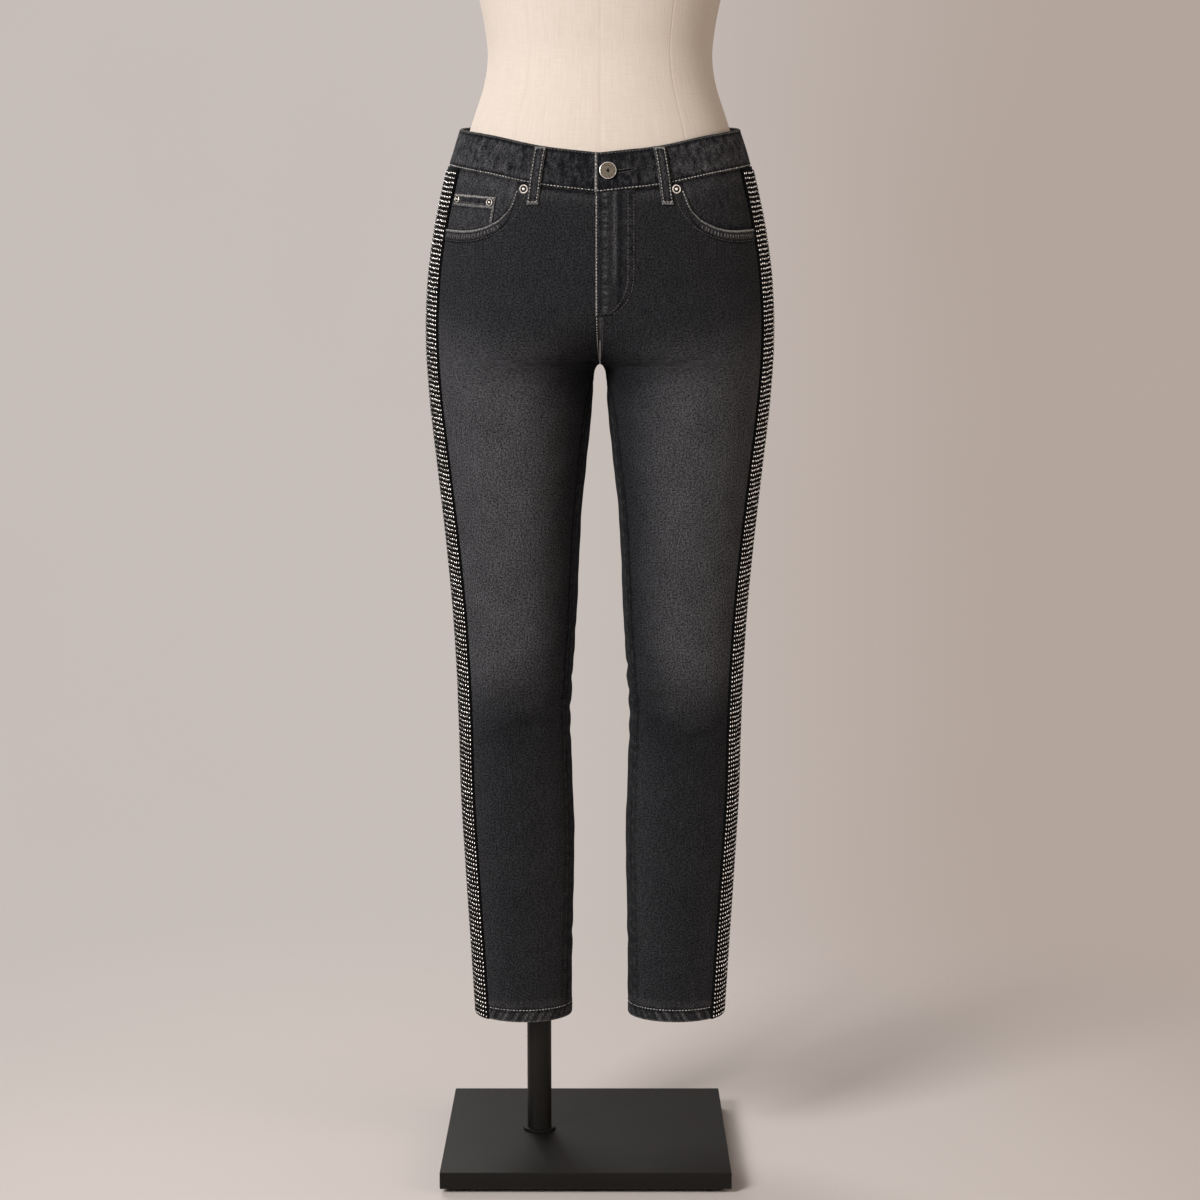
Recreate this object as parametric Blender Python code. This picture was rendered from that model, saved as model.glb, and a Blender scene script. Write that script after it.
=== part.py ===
# Skinny jeans with beaded side strips, standing filled out on a limbless dress form,
# its single post and its square base plate. Metres, +Z up, +X is the wearer's left.
# The origin is on the floor, midway across the jeans and the base plate.

import math
from collections import namedtuple

import bmesh
import bpy
import numpy as np
from mathutils import Matrix, Vector

# Cloth and seams
CLOTH = 0.0014              # wall of one layer of denim
SEAM = 0.0003               # gap where two pieces meet
CROTCH = 0.8275             # height of the point where the four leg seams meet
HEM = 0.148                 # height of the bottom edge
HEM_DEPTH = 0.014           # turned-up hem
HEM_THICK = 0.0024          # two turned layers, pressed
HEM_EDGE_OUT = 0.0001
HEM_MIDDLE_OUT = 0.0004

# Stations on the outside of the cloth, from hem to waist. All reaches are from the middle line.
SideMark = namedtuple("SideMark", "height reach")
SIDE_LINE = (
    SideMark(0.145, 0.1283), SideMark(0.215, 0.1325), SideMark(0.300, 0.1378),
    SideMark(0.385, 0.1425), SideMark(0.470, 0.1443), SideMark(0.555, 0.1480),
    SideMark(0.640, 0.1552), SideMark(0.720, 0.1640), SideMark(0.800, 0.1728),
    SideMark(0.865, 0.1761), SideMark(0.915, 0.1737), SideMark(0.960, 0.1675),
    SideMark(1.000, 0.1590), SideMark(1.030, 0.1515), SideMark(1.065, 0.1405),
    SideMark(1.082, 0.1355),
)
INNER_LINE = (
    SideMark(0.145, 0.0297), SideMark(0.210, 0.0292), SideMark(0.270, 0.0280),
    SideMark(0.340, 0.0268), SideMark(0.400, 0.0288), SideMark(0.450, 0.0299),
    SideMark(0.500, 0.0283), SideMark(0.560, 0.0246), SideMark(0.620, 0.0220),
    SideMark(0.680, 0.0185), SideMark(0.740, 0.0122), SideMark(0.790, 0.0075),
    SideMark(CROTCH, 0.0056),
)
DepthMark = namedtuple("DepthMark", "height front back")
PROFILE = (
    DepthMark(0.145, -0.044, 0.047), DepthMark(0.250, -0.046, 0.052),
    DepthMark(0.350, -0.051, 0.060), DepthMark(0.420, -0.055, 0.060),
    DepthMark(0.480, -0.061, 0.054), DepthMark(0.560, -0.068, 0.058),
    DepthMark(0.640, -0.076, 0.066), DepthMark(0.720, -0.085, 0.078),
    DepthMark(0.780, -0.092, 0.090), DepthMark(CROTCH, -0.099, 0.106),
    DepthMark(0.865, -0.104, 0.122), DepthMark(0.905, -0.107, 0.127),
    DepthMark(0.950, -0.109, 0.121), DepthMark(1.000, -0.108, 0.106),
    DepthMark(1.035, -0.105, 0.095), DepthMark(1.082, -0.099, 0.086),
)
FORK_RISE = 0.080           # above the crotch the two leg tubes melt into one over this height
FORK_POWER = 1.5
CROTCH_FILLET = 0.006       # below the crotch the gap between the legs opens over this height
HIP_FULLNESS = 2.25         # power of the hip's oval, squarer than an ellipse
LEG_FULLNESS = 2.0
FULLNESS_FROM = 0.78
FULLNESS_OVER = 0.12

# Soft folds: troughs across the cloth. Turn is the angle round the leg, 0 front and pi back.
Fold = namedtuple("Fold", "height turn depth tall wide rise")
FOLDS = (
    Fold(0.486, -0.55, 0.0018, 0.010, 0.75, 0.010),
    Fold(0.458, -0.35, 0.0015, 0.009, 0.80, -0.012),
    Fold(0.512, 2.90, 0.0026, 0.011, 0.90, 0.010),
    Fold(0.482, 3.45, 0.0030, 0.011, 0.95, -0.014),
    Fold(0.452, 3.05, 0.0022, 0.010, 0.85, 0.012),
    Fold(0.806, -0.60, 0.0020, 0.009, 0.60, 0.022),
    Fold(0.800, 3.60, 0.0028, 0.010, 0.70, -0.024),
)

# Seams and side strips
STRIP_HALF = 0.023          # half the width of the beaded tape, centred on the outseam
STRIP_SHOWS = 0.0135        # how far its front edge lies in from the side, seen from the front
INSEAM_SHOWS = 0.005        # the same for the inseam, from the inner side of the leg
INSEAM_TURN = 0.060         # height over which the inseam leaves the crotch point
STRIP_LIFT = 0.0007         # the tape's underside above the panels
STRIP_THICK = 0.0011

# Where a seam line runs at a fraction of the way: 0 centre front, 1 outseam, 2 centre back
SeamMark = namedtuple("SeamMark", "way height")
WAIST_SEAM = (
    SeamMark(0.0, 0.9955), SeamMark(0.33, 1.0030), SeamMark(0.66, 1.0155),
    SeamMark(1.0, 1.0255), SeamMark(1.5, 1.0340), SeamMark(2.0, 1.0380),
)
BAND_TOP = (
    SeamMark(0.0, 1.0345), SeamMark(0.33, 1.0415), SeamMark(0.66, 1.0535),
    SeamMark(1.0, 1.0625), SeamMark(1.5, 1.0735), SeamMark(2.0, 1.0780),
)
SEAM_MIDDLE = 1.0155        # a level half-way up the waist seam, where ways round are measured
YOKE_AT_SIDE = 0.990
YOKE_AT_BACK = 0.965

# The curved front pocket opening: height of the panel's cut edge across the front panel,
# 0 at the centre front and 1 at the side strip
CutMark = namedtuple("CutMark", "across height")
POCKET_CUT = (
    CutMark(0.530, 0.985), CutMark(0.575, 0.9735), CutMark(0.650, 0.9655), CutMark(0.730, 0.9615),
    CutMark(0.820, 0.9605), CutMark(0.910, 0.9615), CutMark(1.000, 0.9630),
)
CUT_START = 0.4975          # where the opening leaves the waist seam
FACING_START = 0.503        # just past it, where the facing is tall enough to hold an edge
FACING_DROP = 0.0005        # the facing's outside lies this far under the panel's
FACING_THICK = 0.0011

# Columns across a front panel's inner part, then those under the strip
FRONT_COLUMNS = (0.0, 0.125, 0.25, 0.375, CUT_START, 0.53, 0.575, 0.65, 0.73, 0.82, 0.91, 1.0)
BACK_INNER_COLUMNS = 11
STRIP_COLUMNS = 2

# Rows of the panels: height at the outseam, and at the centre line or inseam
Row = namedtuple("Row", "outer inner")
FRONT_HIP_ROWS = (
    Row(0.945, 0.960), Row(0.920, 0.925), Row(0.895, 0.895), Row(0.875, 0.874),
    Row(0.862, 0.858), Row(0.851, 0.845), Row(0.842, 0.8365), Row(0.835, 0.8305),
)
BACK_HIP_ROWS = (
    Row(0.955, 0.930), Row(0.925, 0.900), Row(0.900, 0.878), Row(0.878, 0.860),
    Row(0.860, 0.848), Row(0.846, 0.8375), Row(0.836, 0.831),
)
LEG_ROWS = (
    Row(0.8285, CROTCH), Row(0.821, 0.8255), Row(0.811, 0.8215), Row(0.798, 0.806),
    Row(0.775, 0.780), Row(0.745, 0.748), Row(0.712, 0.712), Row(0.675, 0.675),
    Row(0.638, 0.638), Row(0.600, 0.600), Row(0.562, 0.562), Row(0.530, 0.530),
    Row(0.508, 0.508), Row(0.486, 0.486), Row(0.466, 0.466), Row(0.446, 0.446),
    Row(0.415, 0.415), Row(0.375, 0.375), Row(0.335, 0.335), Row(0.290, 0.290),
    Row(0.245, 0.245), Row(0.205, 0.205), Row(HEM + HEM_DEPTH + SEAM, HEM + HEM_DEPTH + SEAM),
)

# Waistband, with the end that laps over at the front
BAND_OUT = 0.0011
BAND_EDGE_OUT = 0.0005
BAND_EDGE = 0.0025
LAP_START = -0.0053         # along the front from the middle, the wearer's left is positive
LAP_END = 0.036
LAP_FADE = 0.044
LAP_OUT = 0.0016
BandSpread = namedtuple("BandSpread", "start stop count")
BAND_LEFT = BandSpread(0.34, 0.92, 8)
BAND_SIDE = BandSpread(1.0, 1.9, 10)
BAND_RIGHT = BandSpread(0.925, 0.065, 11)

# Belt loops: way round at the top and foot, 0 centre front and 2 centre back
LOOP_WIDTH = 0.0118
LOOP_THICK = 0.0017
LoopStop = namedtuple("LoopStop", "share drop out")
LOOP_PATH = (               # share of the band's height, then how far down from there
    LoopStop(1.0, 0.0010, BAND_OUT + SEAM), LoopStop(1.0, 0.0060, BAND_OUT + 0.0012),
    LoopStop(0.5, 0.0, BAND_OUT + 0.0021), LoopStop(0.0, -0.0040, BAND_OUT + 0.0016),
    LoopStop(0.0, 0.0035, BAND_OUT), LoopStop(0.0, 0.0065, 0.0005), LoopStop(0.0, 0.0115, 0.0005),
)
LoopPlace = namedtuple("LoopPlace", "name side top foot")
LOOPS = (
    LoopPlace("belt_loop_front_left", 1, 0.334, 0.352),
    LoopPlace("belt_loop_front_right", -1, 0.334, 0.352),
    LoopPlace("belt_loop_back_left", 1, 1.43, 1.43),
    LoopPlace("belt_loop_back_right", -1, 1.43, 1.43),
    LoopPlace("belt_loop_back_middle", 1, 2.0, 2.0),
)

# Fly flap on the wearer's left front
FLY_EDGE = -0.0045
FLY_WIDE = 0.034
FLY_STRAIGHT_TO = 0.915
FLY_FOOT = 0.8755
FLY_FOOT_WIDE = 0.0045
FLY_LEVELS = (0.965, 0.940, FLY_STRAIGHT_TO, 0.905, 0.895, 0.886, 0.880, FLY_FOOT)
FLY_LIFT = 0.0005
FLY_THICK = 0.0010

# Coin pocket on the wearer's right facing
COIN_COLUMNS = (0.65, 0.73, 0.82, 0.91, 0.975)
COIN_TOP_INNER = 0.9920
COIN_TOP_OUTER = 0.9975
COIN_THICK = 0.0010

# Back pocket outline seen from the back, wearer's left
PocketCorner = namedtuple("PocketCorner", "reach height")
BACK_POCKET = (
    PocketCorner(0.026, 0.943), PocketCorner(0.148, 0.956), PocketCorner(0.142, 0.850),
    PocketCorner(0.085, 0.816), PocketCorner(0.032, 0.838),
)
PATCH_LIFT = 0.0004
PATCH_THICK = 0.0013

# Button and rivets: distance along the front from the middle, and height
BUTTON_ALONG = 0.0076
BUTTON_HEIGHT = 1.0165
BUTTON_RADIUS = 0.0085
RimMark = namedtuple("RimMark", "share height")
BUTTON_RIM = (
    RimMark(0.80, 0.0), RimMark(1.0, 0.0008), RimMark(1.0, 0.0020), RimMark(0.90, 0.0028),
    RimMark(0.74, 0.0028), RimMark(0.66, 0.0022), RimMark(0.25, 0.0022),
)
RIVET_RIM = (
    RimMark(1.0, 0.0), RimMark(1.0, 0.0007), RimMark(0.78, 0.0011),
    RimMark(0.52, 0.0009), RimMark(0.40, 0.0016), RimMark(0.16, 0.0019),
)
RIVET_RADIUS = 0.0045
RIVET_ALONG = 0.0755
RIVET_HEIGHT = 0.9995
COIN_RIVET_RADIUS = 0.0039
CoinRivet = namedtuple("CoinRivet", "name along height")
COIN_RIVETS = (
    CoinRivet("rivet_coin_inner", 0.1120, 0.9872),
    CoinRivet("rivet_coin_outer", 0.1545, 0.9918),
)

# Dress form
FORM_GAP = 0.0008           # between the cloth's inside and the form, where the jeans rest on it
FORM_FULLNESS = 2.2
FormMark = namedtuple("FormMark", "height half front back")
FORM_UPPER = (
    FormMark(1.2250, 0.1270, -0.0970, 0.0915), FormMark(1.2230, 0.1285, -0.0985, 0.0930),
    FormMark(1.1940, 0.1219, -0.0935, 0.0885), FormMark(1.1650, 0.1163, -0.0895, 0.0850),
    FormMark(1.1370, 0.1137, -0.0870, 0.0820), FormMark(1.1070, 0.1178, -0.0895, 0.0815),
    FormMark(1.0830, 0.1254, -0.0935, 0.0825), FormMark(1.0600, 0.1330, -0.0978, 0.0855),
    FormMark(1.0300, 0.1430, -0.1025, 0.0920), FormMark(0.9950, 0.1540, -0.1058, 0.1050),
)
FORM_HIP_HEIGHTS = (0.960, 0.930, 0.908)
FormFoot = namedtuple("FormFoot", "height scale")
FORM_UNDER = (
    FormFoot(0.885, 0.975), FormFoot(0.868, 0.925), FormFoot(0.857, 0.850), FormFoot(0.852, 0.770),
)
FORM_FRONT_PICKS = (2, 4, 7, 9, 11)     # every second column of the jeans, so that the form's
FORM_BACK_PICKS = (2, 4, 6, 8, 10, 12)  # facets lie inside theirs

# Stand
PLATE_SIDE = 0.293
PLATE_MIDDLE = -0.0144
PLATE_TOP = 0.0215
PLATE_THICK = 0.0170
PLATE_BEVEL = 0.0008
POST_RADIUS = 0.0127
POST_MIDDLE = -0.064
COLLAR_RADIUS = 0.0170
COLLAR_HEIGHT = 0.0025
FOOT_RADIUS = 0.0098
FOOT_INSET = 0.017
FOOT_EDGE = 0.0008
ROUND_SIDES = 24
SMALL_SIDES = 16
SHARP_ANGLE = math.radians(40)
TINY = 1e-4


def clear_scene():
    for old in list(bpy.data.objects):
        bpy.data.objects.remove(old, do_unlink=True)


def make_material(name, color, roughness, metallic=0.0):
    material = bpy.data.materials.new(name)
    material.use_nodes = True
    shader = material.node_tree.nodes["Principled BSDF"]
    shader.inputs["Base Color"].default_value = (*color, 1.0)
    shader.inputs["Roughness"].default_value = roughness
    shader.inputs["Metallic"].default_value = metallic
    return material


# Shape of the filled-out jeans

def smooth_line(marks, value):
    """A curve through the marks, as a function of their first column."""
    knots = np.array([mark[0] for mark in marks])
    values = np.array([getattr(mark, value) for mark in marks])
    slopes = np.gradient(values, knots)

    def at(place):
        place = min(max(place, knots[0]), knots[-1])
        k = min(int(np.searchsorted(knots, place, side="right")) - 1, len(knots) - 2)
        span = knots[k + 1] - knots[k]
        t = (place - knots[k]) / span
        rise = t * t * (3 - 2 * t)
        level = values[k] + (values[k + 1] - values[k]) * rise
        start = span * slopes[k] * t * (1 - t) ** 2
        stop = span * slopes[k + 1] * t * t * (t - 1)
        return float(level + start + stop)

    return at


side_reach = smooth_line(SIDE_LINE, "reach")
inner_reach = smooth_line(INNER_LINE, "reach")
front_reach = smooth_line(PROFILE, "front")
back_reach = smooth_line(PROFILE, "back")
waist_seam = smooth_line(WAIST_SEAM, "height")
band_top = smooth_line(BAND_TOP, "height")


def ease(value):
    value = min(max(value, 0.0), 1.0)
    return value * value * (3 - 2 * value)


def oval(height):
    """Middle, half width, centre depth, half depth and power of one side's oval."""
    outer = side_reach(height)
    fullness = LEG_FULLNESS + (HIP_FULLNESS - LEG_FULLNESS) * ease(
        (height - FULLNESS_FROM) / FULLNESS_OVER)
    if height >= CROTCH:
        lean = max(1 - (height - CROTCH) / FORK_RISE, 0.0) ** FORK_POWER
        half = outer / (1 + lean)
        middle = lean * half
    else:
        gap = inner_reach(height) * math.sqrt(min((CROTCH - height) / CROTCH_FILLET, 1.0))
        half = (outer - gap) / 2
        middle = (outer + gap) / 2
    front = front_reach(height)
    back = back_reach(height)
    return middle, half, (front + back) / 2, (back - front) / 2, 2 / fullness


def signed_power(value, power):
    return math.copysign(abs(value) ** power, value)


def point_at(height, turn):
    middle, half, centre, deep, power = oval(height)
    across = middle + half * signed_power(math.sin(turn), power)
    return np.array([across, centre - deep * signed_power(math.cos(turn), power), height])


class Section:
    """One level cut through one side of the jeans, measured along the cloth from the outseam."""

    steps = 240

    def __init__(self, height):
        middle, half, _, _, power = oval(height)
        if height >= CROTCH:
            start = -math.asin(min(middle / half, 1.0) ** (1 / power))
            stop = math.pi - start
        else:
            shows = INSEAM_SHOWS * ease((CROTCH - height) / INSEAM_TURN)
            start = -math.asin(((half - shows) / half) ** (1 / power))
            stop = start + 2 * math.pi
        self.turns = np.linspace(start, stop, self.steps + 1)
        points = np.array([point_at(height, turn) for turn in self.turns])
        lengths = np.linalg.norm(np.diff(points, axis=0), axis=1)
        run = np.concatenate([[0.0], np.cumsum(lengths)])
        strip_turn = math.asin(((half - STRIP_SHOWS) / half) ** (1 / power))
        self.run = run - (np.interp(strip_turn, self.turns, run) + STRIP_HALF)
        self.front = float(self.run[0])
        self.back = float(self.run[-1])

    def turn(self, along):
        return float(np.interp(along, self.run, self.turns))


sections = {}


def section(height):
    key = round(height, 6)
    if key not in sections:
        sections[key] = Section(key)
    return sections[key]


def fold_depth(height, turn):
    """How far the soft folds draw the cloth in."""
    depth = 0.0
    for fold in FOLDS:
        off = (turn - fold.turn + math.pi) % (2 * math.pi) - math.pi
        middle = fold.height + fold.rise * off
        tall = (height - middle) / fold.tall
        depth += fold.depth * math.exp(-tall * tall - (off / fold.wide) ** 2)
    return depth


def skin(height, along, out):
    """The cloth's outside at a height and a length from the outseam, moved out along its normal."""
    turn = section(height).turn(along)
    low = height - TINY
    high = height + TINY
    if height >= CROTCH > low:
        low = height
    elif height < CROTCH <= high:
        high = height
    spread = point_at(height, turn + TINY) - point_at(height, turn - TINY)
    climb = point_at(high, turn) - point_at(low, turn)
    normal = np.cross(spread, climb)
    normal = normal / np.linalg.norm(normal)
    point = point_at(height, turn)
    if height >= CROTCH - CROTCH_FILLET and abs(point[0]) < TINY:
        point[0] = 0.0
    point = point + (out - fold_depth(height, turn)) * normal
    point[0] = max(point[0], SEAM / 2)
    return point


def front_skin(distance, height, out):
    """A point near the centre front, by its signed distance along the cloth from the middle."""
    cut = section(height)
    point = skin(height, cut.front + abs(distance), out)
    if abs(distance) < TINY:
        point[0] = 0.0
    if distance < 0:
        point[0] = -point[0]
    return point


def skin_normal(height, along):
    return (skin(height, along, CLOTH) - skin(height, along, 0.0)) / CLOTH


def spread(run):
    return [run.start + (run.stop - run.start) * k / (run.count - 1) for k in range(run.count)]


def way_to_along(height, way):
    """Turns a way of 0 centre front, 1 outseam, 2 centre back into a length from the outseam."""
    cut = section(height)
    if way <= 1:
        return cut.front * (1 - way)
    return cut.back * (way - 1)


# Mesh helpers

def finish_object(name, vertices, faces, material, smooth=True):
    mesh = bpy.data.meshes.new(name)
    mesh.from_pydata([tuple(float(v) for v in p) for p in vertices], [], faces)
    shape = bmesh.new()
    shape.from_mesh(mesh)
    bmesh.ops.recalc_face_normals(shape, faces=shape.faces)
    shape.to_mesh(mesh)
    shape.free()
    if smooth:
        mesh.shade_smooth()
        mesh.set_sharp_from_angle(angle=SHARP_ANGLE)
    mesh.materials.append(material)
    item = bpy.data.objects.new(name, mesh)
    bpy.context.scene.collection.objects.link(item)
    return item


def mirrored(points, side):
    return [[np.array([p[0] * side, p[1], p[2]]) for p in row] for row in points]


def wall(name, outer, inner, material, wrap=False):
    """A closed wall between two grids of points, open sheets or rings that close on themselves."""
    rows = len(outer)
    columns = len(outer[0])
    vertices = [p for row in outer for p in row] + [p for row in inner for p in row]
    shift = rows * columns
    spans = columns if wrap else columns - 1

    def spot(row, column, under):
        return row * columns + column % columns + (shift if under else 0)

    faces = []
    for row in range(rows - 1):
        for column in range(spans):
            for under in (False, True):
                a = spot(row, column, under)
                b = spot(row, column + 1, under)
                c = spot(row + 1, column + 1, under)
                d = spot(row + 1, column, under)
                faces.append((a, c, b) if under else (a, b, c))
                faces.append((a, d, c) if under else (a, c, d))
    for column in range(spans):
        faces.append((spot(0, column, False), spot(0, column, True),
                      spot(0, column + 1, True), spot(0, column + 1, False)))
        faces.append((spot(rows - 1, column, False), spot(rows - 1, column + 1, False),
                      spot(rows - 1, column + 1, True), spot(rows - 1, column, True)))
    if not wrap:
        for row in range(rows - 1):
            faces.append((spot(row, 0, False), spot(row + 1, 0, False),
                          spot(row + 1, 0, True), spot(row, 0, True)))
            last = columns - 1
            faces.append((spot(row, last, False), spot(row, last, True),
                          spot(row + 1, last, True), spot(row + 1, last, False)))
    return finish_object(name, vertices, faces, material)


def turned(name, profile, sides, material, matrix):
    """A solid of revolution from (radius, height) pairs, closed where the profile starts and ends."""
    vertices = []
    for radius, height in profile:
        for k in range(sides):
            turn = 2 * math.pi * k / sides
            vertices.append(matrix @ Vector((radius * math.cos(turn), radius * math.sin(turn), height)))
    faces = []
    for ring in range(len(profile) - 1):
        for k in range(sides):
            low = ring * sides
            high = low + sides
            nxt = (k + 1) % sides
            faces.append((low + k, low + nxt, high + nxt, high + k))
    faces.append(tuple(range(sides)))
    faces.append(tuple(range((len(profile) - 1) * sides, len(profile) * sides)))
    return finish_object(name, vertices, faces, material)


def facing_matrix(point, normal):
    """Stands a turned piece on a point, its axis along the normal."""
    spin = Vector(normal).to_track_quat("Z", "Y").to_matrix().to_4x4()
    return Matrix.Translation(Vector(point)) @ spin


# Columns and rows of the panels

def front_columns(height):
    cut = section(height)
    inner = cut.front + SEAM / 2
    reach = -STRIP_HALF - inner
    strip = [-STRIP_HALF * (1 - k / STRIP_COLUMNS) for k in range(1, STRIP_COLUMNS + 1)]
    strip[-1] = -SEAM / 2
    return [inner + reach * across for across in FRONT_COLUMNS] + strip


def back_columns(height):
    cut = section(height)
    inner = cut.back - SEAM / 2
    reach = inner - STRIP_HALF
    strip = [STRIP_HALF * k / STRIP_COLUMNS for k in range(STRIP_COLUMNS + 1)]
    strip[0] = SEAM / 2
    steps = range(1, BACK_INNER_COLUMNS + 1)
    return strip + [STRIP_HALF + reach * k / BACK_INNER_COLUMNS for k in steps]


def row_height(row, nearness):
    """Heights fan out towards the inner edge, where nearness is 1."""
    return row.outer + (row.inner - row.outer) * nearness ** 2


FRONT_COUNT = len(FRONT_COLUMNS) + STRIP_COLUMNS
BACK_COUNT = STRIP_COLUMNS + 1 + BACK_INNER_COLUMNS


def front_top(column):
    """Height of a front panel's top edge: the waist seam, then the pocket opening."""
    way = column_way(column)
    if column < len(FRONT_COLUMNS) and FRONT_COLUMNS[column] <= CUT_START:
        return waist_seam(way) - SEAM
    across = FRONT_COLUMNS[column] if column < len(FRONT_COLUMNS) else 1.0
    return float(np.interp(across, [c.across for c in POCKET_CUT], [c.height for c in POCKET_CUT]))


def column_way(column):
    """How far round a front column lies at the waist seam, 0 centre front and 1 outseam."""
    return 1 - front_columns(SEAM_MIDDLE)[column] / section(SEAM_MIDDLE).front


def front_point(row, column, out):
    if row == 0:
        height = front_top(column)
    else:
        rows = FRONT_HIP_ROWS + LEG_ROWS
        height = row_height(rows[row - 1], 1 - column / (FRONT_COUNT - 1))
    return skin(height, front_columns(height)[column], out)


def back_way(column):
    return 1 + back_columns(YOKE_AT_SIDE)[column] / section(YOKE_AT_SIDE).back


def yoke_line(way):
    return YOKE_AT_SIDE + (YOKE_AT_BACK - YOKE_AT_SIDE) * (way - 1)


def back_point(row, column, out):
    if row == 0:
        height = yoke_line(back_way(column)) - SEAM
    else:
        rows = BACK_HIP_ROWS + LEG_ROWS
        height = row_height(rows[row - 1], column / (BACK_COUNT - 1))
    return skin(height, back_columns(height)[column], out)


def point_grid(place, rows, columns, out):
    return [[place(row, column, out) for column in range(columns)] for row in range(rows)]


# Pieces of the jeans

def make_panels(side, tag, denim):
    front_rows = 1 + len(FRONT_HIP_ROWS) + len(LEG_ROWS)
    back_rows = 1 + len(BACK_HIP_ROWS) + len(LEG_ROWS)
    outer = point_grid(front_point, front_rows, FRONT_COUNT, 0.0)
    inner = point_grid(front_point, front_rows, FRONT_COUNT, -CLOTH)
    wall("front_panel_" + tag, mirrored(outer, side), mirrored(inner, side), denim)
    outer = point_grid(back_point, back_rows, BACK_COUNT, 0.0)
    inner = point_grid(back_point, back_rows, BACK_COUNT, -CLOTH)
    wall("back_panel_" + tag, mirrored(outer, side), mirrored(inner, side), denim)
    return outer


def make_yoke(side, tag, denim):
    def place(row, column, out):
        way = back_way(column)
        top = waist_seam(way) - SEAM
        low = yoke_line(way)
        height = top + (low - top) * row / 2
        return skin(height, back_columns(height)[column], out)

    outer = point_grid(place, 3, BACK_COUNT, 0.0)
    inner = point_grid(place, 3, BACK_COUNT, -CLOTH)
    wall("back_yoke_" + tag, mirrored(outer, side), mirrored(inner, side), denim)


def make_facing(side, tag, denim):
    acrosses = (FACING_START,) + FRONT_COLUMNS[FRONT_COLUMNS.index(CUT_START) + 1:]
    cut_acrosses = [CUT_START] + [c.across for c in POCKET_CUT]
    start = waist_seam(column_way(FRONT_COLUMNS.index(CUT_START))) - SEAM
    cut_heights = [start] + [c.height for c in POCKET_CUT]
    columns = len(acrosses) + STRIP_COLUMNS

    def place(row, column, out):
        across = acrosses[min(column, len(acrosses) - 1)]
        low = float(np.interp(across, cut_acrosses, cut_heights)) + SEAM

        def along(height):
            if column >= len(acrosses):
                return front_columns(height)[column - len(acrosses) + len(FRONT_COLUMNS)]
            inner = section(height).front + SEAM / 2
            return inner + (-STRIP_HALF - inner) * across

        way = 1 - along(SEAM_MIDDLE) / section(SEAM_MIDDLE).front
        top = waist_seam(way) - SEAM
        height = top + (low - top) * row / 2
        return skin(height, along(height), out)

    outer = point_grid(place, 3, columns, -FACING_DROP)
    inner = point_grid(place, 3, columns, -FACING_DROP - FACING_THICK)
    wall("pocket_facing_" + tag, mirrored(outer, side), mirrored(inner, side), denim)


def make_coin_pocket(denim):
    rows = 3
    cut_acrosses = [c.across for c in POCKET_CUT]
    cut_heights = [c.height for c in POCKET_CUT]

    def place(row, column, out):
        across = COIN_COLUMNS[column]
        share = (across - COIN_COLUMNS[0]) / (COIN_COLUMNS[-1] - COIN_COLUMNS[0])
        top = COIN_TOP_INNER + (COIN_TOP_OUTER - COIN_TOP_INNER) * share
        low = float(np.interp(across, cut_acrosses, cut_heights)) + 2 * SEAM
        height = top + (low - top) * row / (rows - 1)
        inner = section(height).front + SEAM / 2
        return skin(height, inner + (-STRIP_HALF - inner) * across, out)

    base = SEAM - FACING_DROP
    outer = point_grid(place, rows, len(COIN_COLUMNS), base + COIN_THICK)
    inner = point_grid(place, rows, len(COIN_COLUMNS), base)
    wall("coin_pocket", mirrored(outer, -1), mirrored(inner, -1), denim)


def make_side_strip(side, tag, tape):
    heights = [row.outer for row in FRONT_HIP_ROWS + LEG_ROWS[:-1]] + [HEM + HEM_DEPTH, HEM]
    offsets = [STRIP_HALF * k / STRIP_COLUMNS for k in range(-STRIP_COLUMNS, STRIP_COLUMNS + 1)]

    def place(row, column, out):
        along = offsets[column]
        if row < 2:
            top = waist_seam(1 + along / section(SEAM_MIDDLE).back) - SEAM
            height = top + (heights[0] - top) * row / 2
        else:
            height = heights[row - 2]
        return skin(height, along, out)

    rows = len(heights) + 2
    outer = point_grid(place, rows, len(offsets), STRIP_LIFT + STRIP_THICK)
    inner = point_grid(place, rows, len(offsets), STRIP_LIFT)
    wall("side_strip_" + tag, mirrored(outer, side), mirrored(inner, side), tape)


def make_hem_band(side, tag, denim):
    levels = (HEM, HEM + HEM_DEPTH / 2, HEM + HEM_DEPTH)
    outs = (HEM_EDGE_OUT, HEM_MIDDLE_OUT, HEM_EDGE_OUT)

    def ring_points(level, out):
        alongs = front_columns(level)[1:] + back_columns(level)[1:]
        return [skin(level, along, out) for along in alongs]

    outer = [ring_points(level, out) for level, out in zip(levels, outs)]
    inner = [ring_points(level, out - HEM_THICK) for level, out in zip(levels, outs)]
    wall("hem_band_" + tag, mirrored(outer, side), mirrored(inner, side), denim, wrap=True)


def band_stations():
    """Sides and ways round the band: first the wearer's left to the back, then the right."""
    reach = -section(WAIST_SEAM[0].height).front
    lap = [0.0, BUTTON_ALONG, LAP_END / 2, LAP_END, LAP_FADE]
    edge = -LAP_START / reach
    left_round = [place / reach for place in lap] + spread(BAND_LEFT) + spread(BAND_SIDE) + [2.0]
    right_round = spread(BAND_SIDE)[::-1] + spread(BAND_RIGHT) + [edge + SEAM / reach, edge]
    return [(1, way) for way in left_round] + [(-1, way) for way in right_round]


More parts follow.
